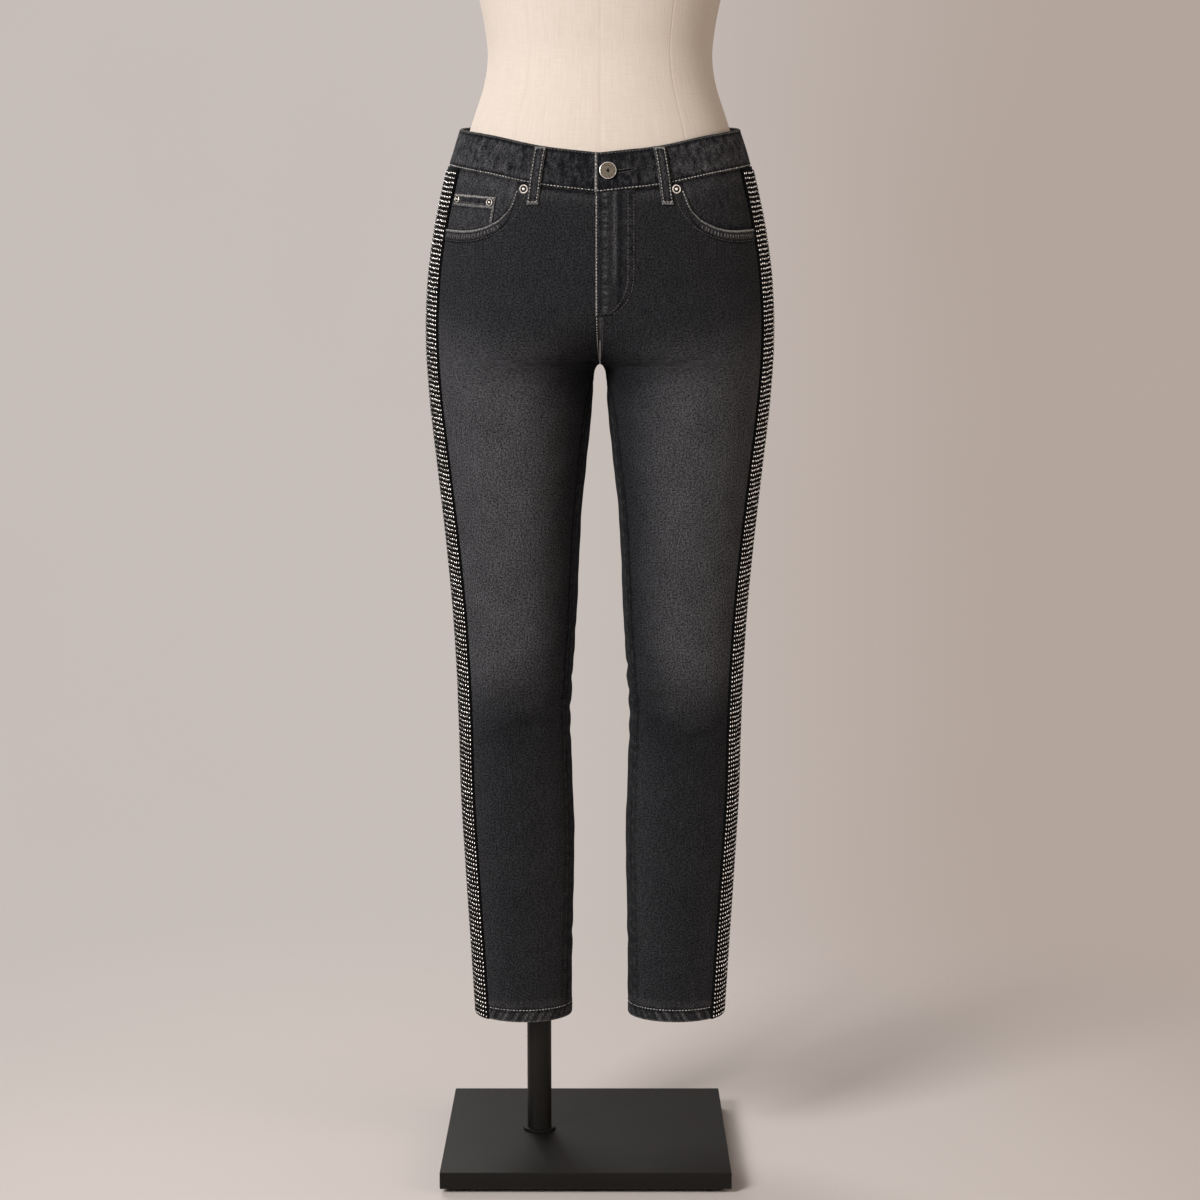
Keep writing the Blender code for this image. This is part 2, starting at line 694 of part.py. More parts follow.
def lap_rise(side, way):
    """How far the lapped end stands out at a way round."""
    reach = -section(WAIST_SEAM[0].height).front
    distance = side * way * reach
    if distance < LAP_START - TINY:
        return 0.0
    return LAP_OUT * (1 - ease((distance - LAP_END) / (LAP_FADE - LAP_END)))


def make_waistband(denim):
    stations = band_stations()

    def loop(share, edge_out, inward):
        points = []
        for side, way in stations:
            low = waist_seam(way)
            high = band_top(way)
            height = low + (high - low) * share
            out = -CLOTH if inward else edge_out + lap_rise(side, way)
            point = skin(height, way_to_along(height, way), out)
            if way in (0.0, 2.0):
                point[0] = 0.0
            points.append(np.array([point[0] * side, point[1], point[2]]))
        return points

    tall = band_top(0) - waist_seam(0)
    near = BAND_EDGE / tall
    shares = (0.0, near, 1 - near, 1.0)
    outs = (BAND_EDGE_OUT, BAND_OUT, BAND_OUT, BAND_EDGE_OUT)
    outer = [loop(share, out, False) for share, out in zip(shares, outs)]
    inner = [loop(share, out, True) for share, out in zip(shares, outs)]
    wall("waistband", outer, inner, denim, wrap=True)


def make_belt_loop(place, denim):
    """A strap from the band's top edge, standing a little off the band, to the panel below it."""
    low = waist_seam(place.foot)
    tall = band_top(place.top) - low
    first = low + tall - LOOP_PATH[0].drop
    last = low - LOOP_PATH[-1].drop

    def place_point(stop, edge, extra):
        height = low + tall * stop.share - stop.drop
        way = place.foot + (place.top - place.foot) * (height - last) / (first - last)
        if way == 2.0:
            point = skin(height, section(height).back - abs(edge), stop.out + extra)
            point[0] = math.copysign(point[0], edge)
            return point
        point = skin(height, way_to_along(height, way) + edge, stop.out + extra)
        return np.array([point[0] * place.side, point[1], point[2]])

    edges = (-LOOP_WIDTH / 2, LOOP_WIDTH / 2)
    outer = [[place_point(stop, edge, LOOP_THICK) for edge in edges] for stop in LOOP_PATH]
    inner = [[place_point(stop, edge, 0.0) for edge in edges] for stop in LOOP_PATH]
    wall(place.name, outer, inner, denim)


def make_fly_flap(denim):
    seam_reach = -section(WAIST_SEAM[0].height).front

    def reach(height):
        fall = (FLY_STRAIGHT_TO - height) / (FLY_STRAIGHT_TO - FLY_FOOT)
        if fall <= 0:
            return FLY_WIDE
        return FLY_FOOT_WIDE + (FLY_WIDE - FLY_FOOT_WIDE) * math.sqrt(max(1 - fall * fall, 0.0))

    def spots(wide):
        return (FLY_EDGE, 0.0, wide / 3, 2 * wide / 3, wide)

    def grid(out):
        seam = [front_skin(spot, waist_seam(abs(spot) / seam_reach) - SEAM, out) for spot in spots(FLY_WIDE)]
        rows = [[front_skin(spot, level, out) for spot in spots(reach(level))] for level in FLY_LEVELS]
        return [seam] + rows

    outer = grid(FLY_LIFT + FLY_THICK)
    inner = grid(FLY_LIFT)
    wall("fly_flap", outer, inner, denim)


def make_back_pocket(side, tag, grid, denim):
    """A patch cut from the back panel's own facets by its straight edges, moved out and thickened."""
    shape = bmesh.new()
    spots = [[shape.verts.new(point) for point in row] for row in grid]
    for row in range(len(grid) - 1):
        for column in range(len(grid[0]) - 1):
            a, b = spots[row][column], spots[row][column + 1]
            c, d = spots[row + 1][column + 1], spots[row + 1][column]
            shape.faces.new((a, b, c))
            shape.faces.new((a, c, d))
    corners = len(BACK_POCKET)
    for k in range(corners):
        start = BACK_POCKET[k]
        stop = BACK_POCKET[(k + 1) % corners]
        outward = Vector((start.height - stop.height, 0.0, stop.reach - start.reach))
        geometry = shape.verts[:] + shape.edges[:] + shape.faces[:]
        bmesh.ops.bisect_plane(shape, geom=geometry, dist=1e-6, plane_co=(start.reach, 0.0, start.height),
                               plane_no=outward, clear_outer=True)
    bmesh.ops.triangulate(shape, faces=shape.faces)
    bmesh.ops.remove_doubles(shape, verts=shape.verts, dist=TINY)
    shape.normal_update()
    for face in shape.faces:
        if face.normal.y < 0:
            face.normal_flip()
    shape.normal_update()
    shape.verts.index_update()
    count = len(shape.verts)
    low = [vertex.co + vertex.normal * PATCH_LIFT for vertex in shape.verts]
    high = [vertex.co + vertex.normal * (PATCH_LIFT + PATCH_THICK) for vertex in shape.verts]
    faces = []
    for face in shape.faces:
        loop = [vertex.index for vertex in face.verts]
        faces.append(tuple(index + count for index in loop))
        faces.append(tuple(reversed(loop)))
    for edge in shape.edges:
        if edge.is_boundary:
            a, b = edge.verts[0].index, edge.verts[1].index
            faces.append((a, b, b + count, a + count))
    shape.free()
    vertices = [Vector((p.x * side, p.y, p.z)) for p in low + high]
    finish_object("back_pocket_" + tag, vertices, faces, denim)


def make_button(metal):
    height = BUTTON_HEIGHT
    along = section(height).front + BUTTON_ALONG
    base = skin(height, along, BAND_OUT + LAP_OUT + 2 * SEAM)
    profile = [(BUTTON_RADIUS * mark.share, mark.height) for mark in BUTTON_RIM]
    turned("waist_button", profile, ROUND_SIDES, metal, facing_matrix(base, skin_normal(height, along)))


def make_rivet(name, side, height, distance, out, radius, metal):
    along = section(height).front + distance
    base = skin(height, along, out)
    normal = skin_normal(height, along)
    base[0] *= side
    normal[0] *= side
    profile = [(radius * mark.share, mark.height) for mark in RIVET_RIM]
    turned(name, profile, SMALL_SIDES, metal, facing_matrix(base, normal))


# The dress form and its stand

def form_turns(height):
    """Angles round one side of the form, from centre front to centre back."""
    cut = section(height)
    front = front_columns(height)
    back = back_columns(height)
    picks = [cut.front] + [front[k] for k in FORM_FRONT_PICKS] + [0.0]
    picks += [back[k] for k in FORM_BACK_PICKS] + [cut.back]
    return [cut.turn(along) for along in picks]


def make_form(linen):
    skin_gap = CLOTH + FORM_GAP
    seam_top = PROFILE[-1].height
    rings = [(m.height, m.half, m.front, m.back, 1.0) for m in FORM_UPPER]
    for height in FORM_HIP_HEIGHTS:
        rings.append((height, side_reach(height) - skin_gap, front_reach(height) + skin_gap,
                      back_reach(height) - skin_gap, 1.0))
    for foot in FORM_UNDER:
        rings.append((foot.height, side_reach(foot.height) - skin_gap, front_reach(foot.height) + skin_gap,
                      back_reach(foot.height) - skin_gap, foot.scale))
    vertices = []
    for height, half, front, back, scale in rings:
        turns = form_turns(min(max(height, FORM_HIP_HEIGHTS[-1]), seam_top))
        centre = (front + back) / 2
        deep = (back - front) / 2 * scale
        if height > seam_top:
            power = 2 / FORM_FULLNESS
        else:
            power = oval(max(height, FORM_HIP_HEIGHTS[-1]))[4]
        left = [Vector((half * scale * signed_power(math.sin(turn), power),
                        centre - deep * signed_power(math.cos(turn), power), height)) for turn in turns]
        left[0].x = 0.0
        left[-1].x = 0.0
        right = [Vector((-p.x, p.y, p.z)) for p in left[-2:0:-1]]
        vertices += left + right
    around = len(vertices) // len(rings)
    faces = []
    for ring in range(len(rings) - 1):
        for k in range(around):
            a = ring * around + k
            b = ring * around + (k + 1) % around
            faces.append((a, b, b + around))
            faces.append((a, b + around, a + around))
    faces.append(tuple(range(around)))
    faces.append(tuple(range(len(vertices) - around, len(vertices))))
    finish_object("dress_form", vertices, faces, linen)


def make_stand(steel, rubber):
    plate_low = PLATE_TOP - PLATE_THICK
    bpy.ops.mesh.primitive_cube_add(size=1.0, location=(PLATE_MIDDLE, 0.0, (PLATE_TOP + plate_low) / 2))
    plate = bpy.context.active_object
    plate.name = "base_plate"
    plate.scale = (PLATE_SIDE, PLATE_SIDE, PLATE_THICK)
    bpy.ops.object.transform_apply(location=False, rotation=False, scale=True)
    bevel = plate.modifiers.new("edge", "BEVEL")
    bevel.width = PLATE_BEVEL
    bevel.segments = 1
    plate.data.materials.append(steel)

    post_low = PLATE_TOP + SEAM
    post_high = FORM_UNDER[-1].height - SEAM
    at_post = Matrix.Translation((POST_MIDDLE, 0.0, 0.0))
    turned("stand_post", ((POST_RADIUS, post_low), (POST_RADIUS, post_high)), ROUND_SIDES, steel, at_post)

    bore = POST_RADIUS + SEAM
    outer = []
    inner = []
    for height in (post_low, post_low + COLLAR_HEIGHT):
        turns = [2 * math.pi * k / ROUND_SIDES for k in range(ROUND_SIDES)]
        outer.append([(POST_MIDDLE + COLLAR_RADIUS * math.cos(t), COLLAR_RADIUS * math.sin(t), height)
                      for t in turns])
        inner.append([(POST_MIDDLE + bore * math.cos(t), bore * math.sin(t), height) for t in turns])
    wall("post_collar", outer, inner, steel, wrap=True)

    inset = PLATE_SIDE / 2 - FOOT_INSET
    foot_high = plate_low - SEAM
    profile = ((FOOT_RADIUS - FOOT_EDGE, 0.0), (FOOT_RADIUS, FOOT_EDGE), (FOOT_RADIUS, foot_high))
    number = 1
    for across in (-inset, inset):
        for depth in (-inset, inset):
            place = Matrix.Translation((PLATE_MIDDLE + across, depth, 0.0))
            turned("stand_foot_" + str(number), profile, ROUND_SIDES, rubber, place)
            number += 1


def main():
    clear_scene()
    denim = make_material("washed_black_denim", (0.030, 0.031, 0.034), 0.85)
    tape = make_material("strip_tape", (0.010, 0.010, 0.011), 0.75)
    metal = make_material("gunmetal_fasteners", (0.20, 0.20, 0.21), 0.38, 1.0)
    linen = make_material("form_linen", (0.62, 0.53, 0.42), 0.90)
    steel = make_material("black_steel", (0.012, 0.012, 0.013), 0.42)
    rubber = make_material("foot_rubber", (0.015, 0.015, 0.015), 0.80)

    for side, tag in ((1, "left"), (-1, "right")):
        back_grid = make_panels(side, tag, denim)
        make_yoke(side, tag, denim)
        make_facing(side, tag, denim)
        make_side_strip(side, tag, tape)
        make_hem_band(side, tag, denim)
        make_back_pocket(side, tag, back_grid, denim)
        make_rivet("rivet_pocket_" + tag, side, RIVET_HEIGHT, RIVET_ALONG, PATCH_LIFT, RIVET_RADIUS, metal)
    make_waistband(denim)
    for place in LOOPS:
        make_belt_loop(place, denim)
    make_fly_flap(denim)
    make_coin_pocket(denim)
    for rivet in COIN_RIVETS:
        out = SEAM - FACING_DROP + COIN_THICK + PATCH_LIFT
        make_rivet(rivet.name, -1, rivet.height, rivet.along, out, COIN_RIVET_RADIUS, metal)
    make_button(metal)
    make_form(linen)
    make_stand(steel, rubber)


main()
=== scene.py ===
import math

import bmesh
import bpy
import numpy as np
from mathutils import Matrix, Vector


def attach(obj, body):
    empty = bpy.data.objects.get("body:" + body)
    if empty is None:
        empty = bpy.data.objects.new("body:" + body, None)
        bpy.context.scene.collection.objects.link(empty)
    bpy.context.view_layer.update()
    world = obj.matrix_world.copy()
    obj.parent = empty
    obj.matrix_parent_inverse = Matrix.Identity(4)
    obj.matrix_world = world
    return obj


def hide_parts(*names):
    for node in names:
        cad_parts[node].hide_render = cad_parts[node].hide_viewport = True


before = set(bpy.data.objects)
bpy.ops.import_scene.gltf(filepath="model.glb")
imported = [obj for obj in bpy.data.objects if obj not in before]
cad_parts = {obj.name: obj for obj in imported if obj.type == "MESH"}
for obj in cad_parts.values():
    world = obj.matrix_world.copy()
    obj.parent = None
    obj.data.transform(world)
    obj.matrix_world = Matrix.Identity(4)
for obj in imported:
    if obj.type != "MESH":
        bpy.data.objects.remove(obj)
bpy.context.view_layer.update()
randomSource = np.random.default_rng(7)

# lengths in metres, +X is the wearer's left, ways round run 0 centre front, 1 outseam, 2 centre back
cut = {
    "cloth": 0.0014,
    "seam": 0.0003,
    "crotch": 0.8275,
    "hem": 0.148,
    "hemDepth": 0.014,
    "forkRise": 0.080,
    "forkPower": 1.5,
    "fillet": 0.006,
    "hipFullness": 2.25,
    "legFullness": 2.0,
    "fullnessFrom": 0.78,
    "fullnessOver": 0.12,
    "stripHalf": 0.023,
    "stripShows": 0.0135,
    "inseamShows": 0.005,
    "inseamTurn": 0.060,
    "seamMiddle": 1.0155,
    "yokeSide": 0.990,
    "yokeBack": 0.965,
    "pocketStart": 0.4975,
    "pocketFacingStart": 0.503,
}

# height, reach from the middle line
sideLine = (
    (0.145, 0.1283), (0.215, 0.1325), (0.300, 0.1378), (0.385, 0.1425), (0.470, 0.1443),
    (0.555, 0.1480), (0.640, 0.1552), (0.720, 0.1640), (0.800, 0.1728), (0.865, 0.1761),
    (0.915, 0.1737), (0.960, 0.1675), (1.000, 0.1590), (1.030, 0.1515), (1.065, 0.1405),
    (1.082, 0.1355),
)
innerLine = (
    (0.145, 0.0297), (0.210, 0.0292), (0.270, 0.0280), (0.340, 0.0268), (0.400, 0.0288),
    (0.450, 0.0299), (0.500, 0.0283), (0.560, 0.0246), (0.620, 0.0220), (0.680, 0.0185),
    (0.740, 0.0122), (0.790, 0.0075), (0.8275, 0.0056),
)
# height, front, back
depthLine = (
    (0.145, -0.044, 0.047), (0.250, -0.046, 0.052), (0.350, -0.051, 0.060), (0.420, -0.055, 0.060),
    (0.480, -0.061, 0.054), (0.560, -0.068, 0.058), (0.640, -0.076, 0.066), (0.720, -0.085, 0.078),
    (0.780, -0.092, 0.090), (0.8275, -0.099, 0.106), (0.865, -0.104, 0.122), (0.905, -0.107, 0.127),
    (0.950, -0.109, 0.121), (1.000, -0.108, 0.106), (1.035, -0.105, 0.095), (1.082, -0.099, 0.086),
)
# way round, height
waistSeamLine = ((0, 0.9955), (0.33, 1.0030), (0.66, 1.0155), (1, 1.0255), (1.5, 1.0340), (2, 1.0380))
bandTopLine = ((0, 1.0345), (0.33, 1.0415), (0.66, 1.0535), (1, 1.0625), (1.5, 1.0735), (2, 1.0780))
# share across the front panel, height of the pocket's cut edge
pocketLine = (
    (0.530, 0.985), (0.575, 0.9735), (0.650, 0.9655), (0.730, 0.9615), (0.820, 0.9605),
    (0.910, 0.9615), (1.000, 0.9630),
)
# main folds: height, turn round the leg, depth, how tall, how wide, rise per turn
mainFolds = (
    (0.486, -0.55, 0.0018, 0.010, 0.75, 0.010), (0.458, -0.35, 0.0015, 0.009, 0.80, -0.012),
    (0.512, 2.90, 0.0026, 0.011, 0.90, 0.010), (0.482, 3.45, 0.0030, 0.011, 0.95, -0.014),
    (0.452, 3.05, 0.0022, 0.010, 0.85, 0.012), (0.806, -0.60, 0.0020, 0.009, 0.60, 0.022),
    (0.800, 3.60, 0.0028, 0.010, 0.70, -0.024),
)


# the filled-out surface, worked on whole arrays

def smoothLine(marks, column=1):
    knots = np.array([mark[0] for mark in marks], float)
    values = np.array([mark[column] for mark in marks], float)
    slopes = np.gradient(values, knots)

    def at(place):
        place = np.clip(np.asarray(place, float), knots[0], knots[-1])
        k = np.clip(np.searchsorted(knots, place, side="right") - 1, 0, len(knots) - 2)
        span = knots[k + 1] - knots[k]
        t = (place - knots[k]) / span
        level = values[k] + (values[k + 1] - values[k]) * t * t * (3 - 2 * t)
        return level + span * slopes[k] * t * (1 - t) ** 2 + span * slopes[k + 1] * t * t * (t - 1)

    return at


sideReach = smoothLine(sideLine)
innerReach = smoothLine(innerLine)
frontReach = smoothLine(depthLine, 1)
backReach = smoothLine(depthLine, 2)
waistSeam = smoothLine(waistSeamLine)
bandTop = smoothLine(bandTopLine)


def ease(value):
    value = np.clip(value, 0.0, 1.0)
    return value * value * (3 - 2 * value)


def signedPower(value, power):
    return np.sign(value) * np.abs(value) ** power


def ovalAt(z):
    outer = sideReach(z)
    fullness = cut["legFullness"] + (cut["hipFullness"] - cut["legFullness"]) * ease(
        (z - cut["fullnessFrom"]) / cut["fullnessOver"])
    rise = np.clip((z - cut["crotch"]) / cut["forkRise"], 0.0, 1.0)
    lean = (1 - rise) ** cut["forkPower"]
    above = z >= cut["crotch"]
    opened = np.sqrt(np.clip((cut["crotch"] - z) / cut["fillet"], 0.0, 1.0))
    gap = innerReach(z) * opened
    half = np.where(above, outer / (1 + lean), (outer - gap) / 2)
    middle = np.where(above, lean * half, (outer + gap) / 2)
    front, back = frontReach(z), backReach(z)
    return middle, half, (front + back) / 2, (back - front) / 2, 2 / fullness


def pointAt(z, turn):
    middle, half, centre, deep, power = ovalAt(z)
    x = middle + half * signedPower(np.sin(turn), power)
    y = centre - deep * signedPower(np.cos(turn), power)
    return np.stack([x, y, np.broadcast_to(z, np.shape(x))], axis=-1)


def sectionTable():
    # for every level: lengths along the cloth from the outseam, and the turn at each length
    near = cut["crotch"] + np.array([-0.006, -0.005, -0.004, -0.003, -0.002, -0.0012, -0.0006, -0.0002, 0.0])
    heights = np.unique(np.round(np.concatenate([np.arange(0.140, 1.0841, 0.002), near]), 6))
    shares = np.linspace(0, 1, 257)
    fronts, backs, turns = [], [], []
    for z in heights:
        middle, half, _, _, power = (float(v) for v in ovalAt(z))
        if z >= cut["crotch"]:
            start = -math.asin(min(middle / half, 1.0) ** (1 / power))
            stop = math.pi - start
        else:
            shows = cut["inseamShows"] * float(ease((cut["crotch"] - z) / cut["inseamTurn"]))
            start = -math.asin(((half - shows) / half) ** (1 / power))
            stop = start + 2 * math.pi
        grid = np.linspace(start, stop, 481)
        steps = np.linalg.norm(np.diff(pointAt(np.full(481, z), grid), axis=0), axis=1)
        run = np.concatenate([[0.0], np.cumsum(steps)])
        edge = math.asin(((half - cut["stripShows"]) / half) ** (1 / power))
        run = run - (np.interp(edge, grid, run) + cut["stripHalf"])
        fronts.append(run[0])
        backs.append(run[-1])
        turns.append(np.interp(run[0] + (run[-1] - run[0]) * shares, run, grid))
    return heights, np.array(fronts), np.array(backs), np.array(turns)


levels, frontRuns, backRuns, turnTable = sectionTable()


def frontRun(z):
    return np.interp(z, levels, frontRuns)


def backRun(z):
    return np.interp(z, levels, backRuns)


def turnAt(z, along):
    z = np.clip(z, levels[0], levels[-1])
    row = np.clip(np.searchsorted(levels, z, side="right") - 1, 0, len(levels) - 2)
    low = (z - levels[row]) / (levels[row + 1] - levels[row])
    share = (along - frontRun(z)) / (backRun(z) - frontRun(z)) * (turnTable.shape[1] - 1)
    share = np.clip(share, 0, turnTable.shape[1] - 1.000001)
    column = share.astype(int)
    side = share - column

    def mixed(k):
        return turnTable[k, column] * (1 - side) + turnTable[k, column + 1] * side

    return mixed(row) * (1 - low) + mixed(row + 1) * low


def foldDepth(z, turn):
    depth = np.zeros(np.shape(turn))
    for height, at, deep, tall, wide, rise in mainFolds:
        off = (turn - at + math.pi) % (2 * math.pi) - math.pi
        depth += deep * np.exp(-((z - height - rise * off) / tall) ** 2 - (off / wide) ** 2)
    return depth


def skinTurn(z, turn, out):
    z, turn, out = np.broadcast_arrays(np.asarray(z, float), np.asarray(turn, float), np.asarray(out, float))
    step = 1e-4
    low, high = z - step, z + step
    low = np.where((z >= cut["crotch"]) & (low < cut["crotch"]), z, low)
    high = np.where((z < cut["crotch"]) & (high >= cut["crotch"]), z, high)
    spread = pointAt(z, turn + step) - pointAt(z, turn - step)
    climb = pointAt(high, turn) - pointAt(low, turn)
    normal = np.cross(spread, climb)
    normal /= np.linalg.norm(normal, axis=-1, keepdims=True)
    point = pointAt(z, turn) + (out - foldDepth(z, turn))[..., None] * normal
    point[..., 0] = np.maximum(point[..., 0], cut["seam"] / 2)
    return point, normal


def skin(z, along, out):
    z, along = np.broadcast_arrays(np.asarray(z, float), np.asarray(along, float))
    return skinTurn(z, turnAt(z, along), out)[0]


def skinNormal(z, along):
    z, along = np.broadcast_arrays(np.asarray(z, float), np.asarray(along, float))
    return skinTurn(z, turnAt(z, along), 0.0)[1]


def wayToAlong(z, way):
    return np.where(way <= 1, frontRun(z) * (1 - way), backRun(z) * (way - 1))


def crossSkin(z, distance, out):
    # near the centre front: distance runs to the wearer's left, and may cross to the right
    z, distance, out = np.broadcast_arrays(
        np.asarray(z, float), np.asarray(distance, float), np.asarray(out, float))
    point = skin(z, frontRun(z) + np.abs(distance), out)
    point[..., 0] = np.where(np.abs(distance) < 2e-4, distance, point[..., 0] * np.sign(distance))
    return point


def mirror(points, side):
    return points * np.array([side, 1.0, 1.0])


# finer relief: creases and puckers, as lengths out of the cloth

def bump(value, middle, wide):
    return np.exp(-((value - middle) / wide) ** 2)


def creases(z, u, table):
    # each row: start (u, z), end (u, z), height out, half width
    out = np.zeros(np.shape(z))
    for u0, z0, u1, z1, rise, wide in table:
        du, dz = u1 - u0, z1 - z0
        long = math.hypot(du, dz)
        t = ((u - u0) * du + (z - z0) * dz) / long ** 2
        off = ((u - u0) * dz - (z - z0) * du) / long
        bow = off - 0.06 * long * (1 - (2 * t - 1) ** 2)
        ends = ease((t + 0.15) / 0.45) * ease((1.15 - t) / 0.45)
        out += rise * np.exp(-(bow / wide) ** 2) * ends
    return out


def ripple(z, length, seed):
    # uneven waves along a seam, about one in every length
    phase = 2 * math.pi * z / length
    wander = 1.1 * np.sin(phase * 0.23 + seed) + 0.7 * np.sin(phase * 0.57 + 2.3 * seed)
    return 0.5 * np.sin(phase + wander) + 0.3 * np.sin(1.61 * phase + 1.7 * seed)


def slack(u, z, seed):
    # slow unevenness of worn cloth
    return 0.00035 * (
        np.sin(97 * u + 41 * z + seed) * np.sin(63 * z - 29 * u + 1.9 * seed)
        + 0.7 * np.sin(151 * u - 88 * z + 2.7 * seed) * np.sin(117 * z + 45 * u + seed))


# u runs along the cloth from the centre front, below the crotch from the inseam
frontCreases = {
    1: (
        (0.010, 0.8360, 0.034, 0.8285, 0.0010, 0.0022), (0.010, 0.8315, 0.036, 0.8240, -0.0012, 0.0026),
        (0.004, 0.8440, 0.022, 0.8500, -0.0006, 0.0030), (0.036, 0.8720, 0.070, 0.8850, -0.0004, 0.0050),
        (0.020, 0.4940, 0.075, 0.4780, -0.0010, 0.0055), (0.030, 0.4700, 0.090, 0.4560, 0.0009, 0.0060),
        (0.055, 0.4440, 0.112, 0.4600, -0.0009, 0.0055), (0.016, 0.4480, 0.060, 0.4340, -0.0007, 0.0050),
        (0.090, 0.5000, 0.125, 0.4830, 0.0007, 0.0060), (0.010, 0.5350, 0.050, 0.5240, -0.0006, 0.0060),
        (0.010, 0.2350, 0.060, 0.2250, -0.0006, 0.0060), (0.040, 0.2080, 0.095, 0.2180, -0.0006, 0.0055),
        (0.012, 0.3600, 0.055, 0.3500, -0.0004, 0.0070), (0.010, 0.7700, 0.060, 0.7450, -0.0005, 0.0070),
    ),
    -1: (
        (0.004, 0.8370, 0.056, 0.8275, -0.0017, 0.0042), (0.006, 0.8420, 0.050, 0.8350, 0.0006, 0.0040),
        (0.004, 0.8520, 0.030, 0.8590, -0.0005, 0.0040), (0.034, 0.8750, 0.066, 0.8900, -0.0003, 0.0050),
        (0.080, 0.4860, 0.108, 0.4740, -0.0012, 0.0060), (0.036, 0.4560, 0.076, 0.4700, -0.0012, 0.0060),
        (0.050, 0.4780, 0.092, 0.4600, 0.0009, 0.0065), (0.014, 0.4820, 0.050, 0.4700, -0.0008, 0.0055),
        (0.100, 0.4600, 0.118, 0.4350, 0.0008, 0.0050), (0.012, 0.5400, 0.055, 0.5300, -0.0006, 0.0060),
        (0.014, 0.2280, 0.070, 0.2150, -0.0007, 0.0060), (0.050, 0.2450, 0.100, 0.2360, -0.0005, 0.0055),
        (0.014, 0.3450, 0.060, 0.3560, -0.0004, 0.0070), (0.010, 0.7600, 0.055, 0.7380, -0.0005, 0.0070),
    ),
}
# u runs from the centre back, below the crotch from the inseam
backCreases = {
    1: (
        (0.006, 0.8330, 0.070, 0.8150, -0.0018, 0.0045), (0.008, 0.8400, 0.078, 0.8240, 0.0009, 0.0050),
        (0.016, 0.8080, 0.085, 0.7900, -0.0012, 0.0050), (0.040, 0.8480, 0.110, 0.8320, -0.0010, 0.0060),
        (0.016, 0.5200, 0.078, 0.5060, -0.0016, 0.0050), (0.022, 0.5080, 0.090, 0.4940, 0.0012, 0.0050),
        (0.014, 0.4930, 0.070, 0.4800, -0.0018, 0.0050), (0.060, 0.4880, 0.124, 0.5020, -0.0014, 0.0050),
        (0.018, 0.4680, 0.082, 0.4560, -0.0016, 0.0050), (0.050, 0.4660, 0.118, 0.4780, 0.0010, 0.0050),
        (0.016, 0.4440, 0.074, 0.4330, -0.0012, 0.0050), (0.060, 0.4380, 0.115, 0.4480, -0.0010, 0.0055),
        (0.020, 0.5480, 0.080, 0.5380, -0.0009, 0.0060), (0.030, 0.4120, 0.090, 0.4040, -0.0007, 0.0060),
        (0.014, 0.2300, 0.066, 0.2200, -0.0008, 0.0055), (0.045, 0.2060, 0.100, 0.2140, -0.0007, 0.0055),
        (0.060, 0.9100, 0.120, 0.8950, -0.0004, 0.0080),
    ),
    -1: (
        (0.006, 0.8340, 0.062, 0.8200, -0.0016, 0.0045), (0.010, 0.8420, 0.084, 0.8290, 0.0008, 0.0050),
        (0.014, 0.8120, 0.080, 0.7960, -0.0013, 0.0050), (0.044, 0.8520, 0.100, 0.8400, -0.0009, 0.0060),
        (0.020, 0.5260, 0.086, 0.5140, -0.0014, 0.0050), (0.016, 0.5060, 0.080, 0.4900, -0.0018, 0.0050),
        (0.034, 0.5000, 0.100, 0.4840, 0.0011, 0.0050), (0.056, 0.4760, 0.120, 0.4900, -0.0013, 0.0050),
        (0.014, 0.4760, 0.070, 0.4640, -0.0015, 0.0050), (0.040, 0.4600, 0.110, 0.4700, 0.0010, 0.0050),
        (0.018, 0.4500, 0.080, 0.4380, -0.0013, 0.0050), (0.056, 0.4300, 0.112, 0.4420, -0.0010, 0.0055),
        (0.018, 0.5560, 0.070, 0.5440, -0.0008, 0.0060), (0.026, 0.4060, 0.086, 0.3980, -0.0007, 0.0060),
        (0.012, 0.2380, 0.060, 0.2260, -0.0008, 0.0055), (0.050, 0.2120, 0.104, 0.2200, -0.0006, 0.0055),
        (0.056, 0.9060, 0.112, 0.8900, -0.0004, 0.0080),
    ),
}


inseamPucker = {"front": 0.0155, "back": 0.0145}  # length of one wave along the felled seam


def frontRelief(z, u, side):
    below = ease((cut["crotch"] - z) / 0.02)
    out = 1.35 * creases(z, u, frontCreases[side]) + slack(u, z, 1.3 + side)
    out += 0.00042 * below * bump(u, 0.0055, 0.0035) * ripple(z, inseamPucker["front"], 2.0 + side)
    return out


def backRelief(z, u, side):
    below = ease((cut["crotch"] - z) / 0.02)
    out = 1.5 * creases(z, u, backCreases[side]) + slack(u, z, 4.1 + side)
    out += 0.00050 * below * bump(u, 0.0060, 0.0035) * ripple(z, inseamPucker["back"], 5.0 + side)
    out += 0.00035 * (1 - below) * bump(u, 0.0065, 0.0030) * ripple(z, 0.0130, 7.0 + side)
    return out


# meshes

def smoothMesh(mesh, sharp=None):
    # faces turned outwards and smooth, edges past this many degrees kept crisp
    shape = bmesh.new()
    shape.from_mesh(mesh)
    bmesh.ops.recalc_face_normals(shape, faces=shape.faces)
    shape.to_mesh(mesh)
    shape.free()
    mesh.shade_smooth()
    if sharp is not None:
        mesh.set_sharp_from_angle(angle=math.radians(sharp))


def setPiece(name, mesh):
    piece = bpy.data.objects.new(name, mesh)
    bpy.context.scene.collection.objects.link(piece)
    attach(piece, "root")
    return piece


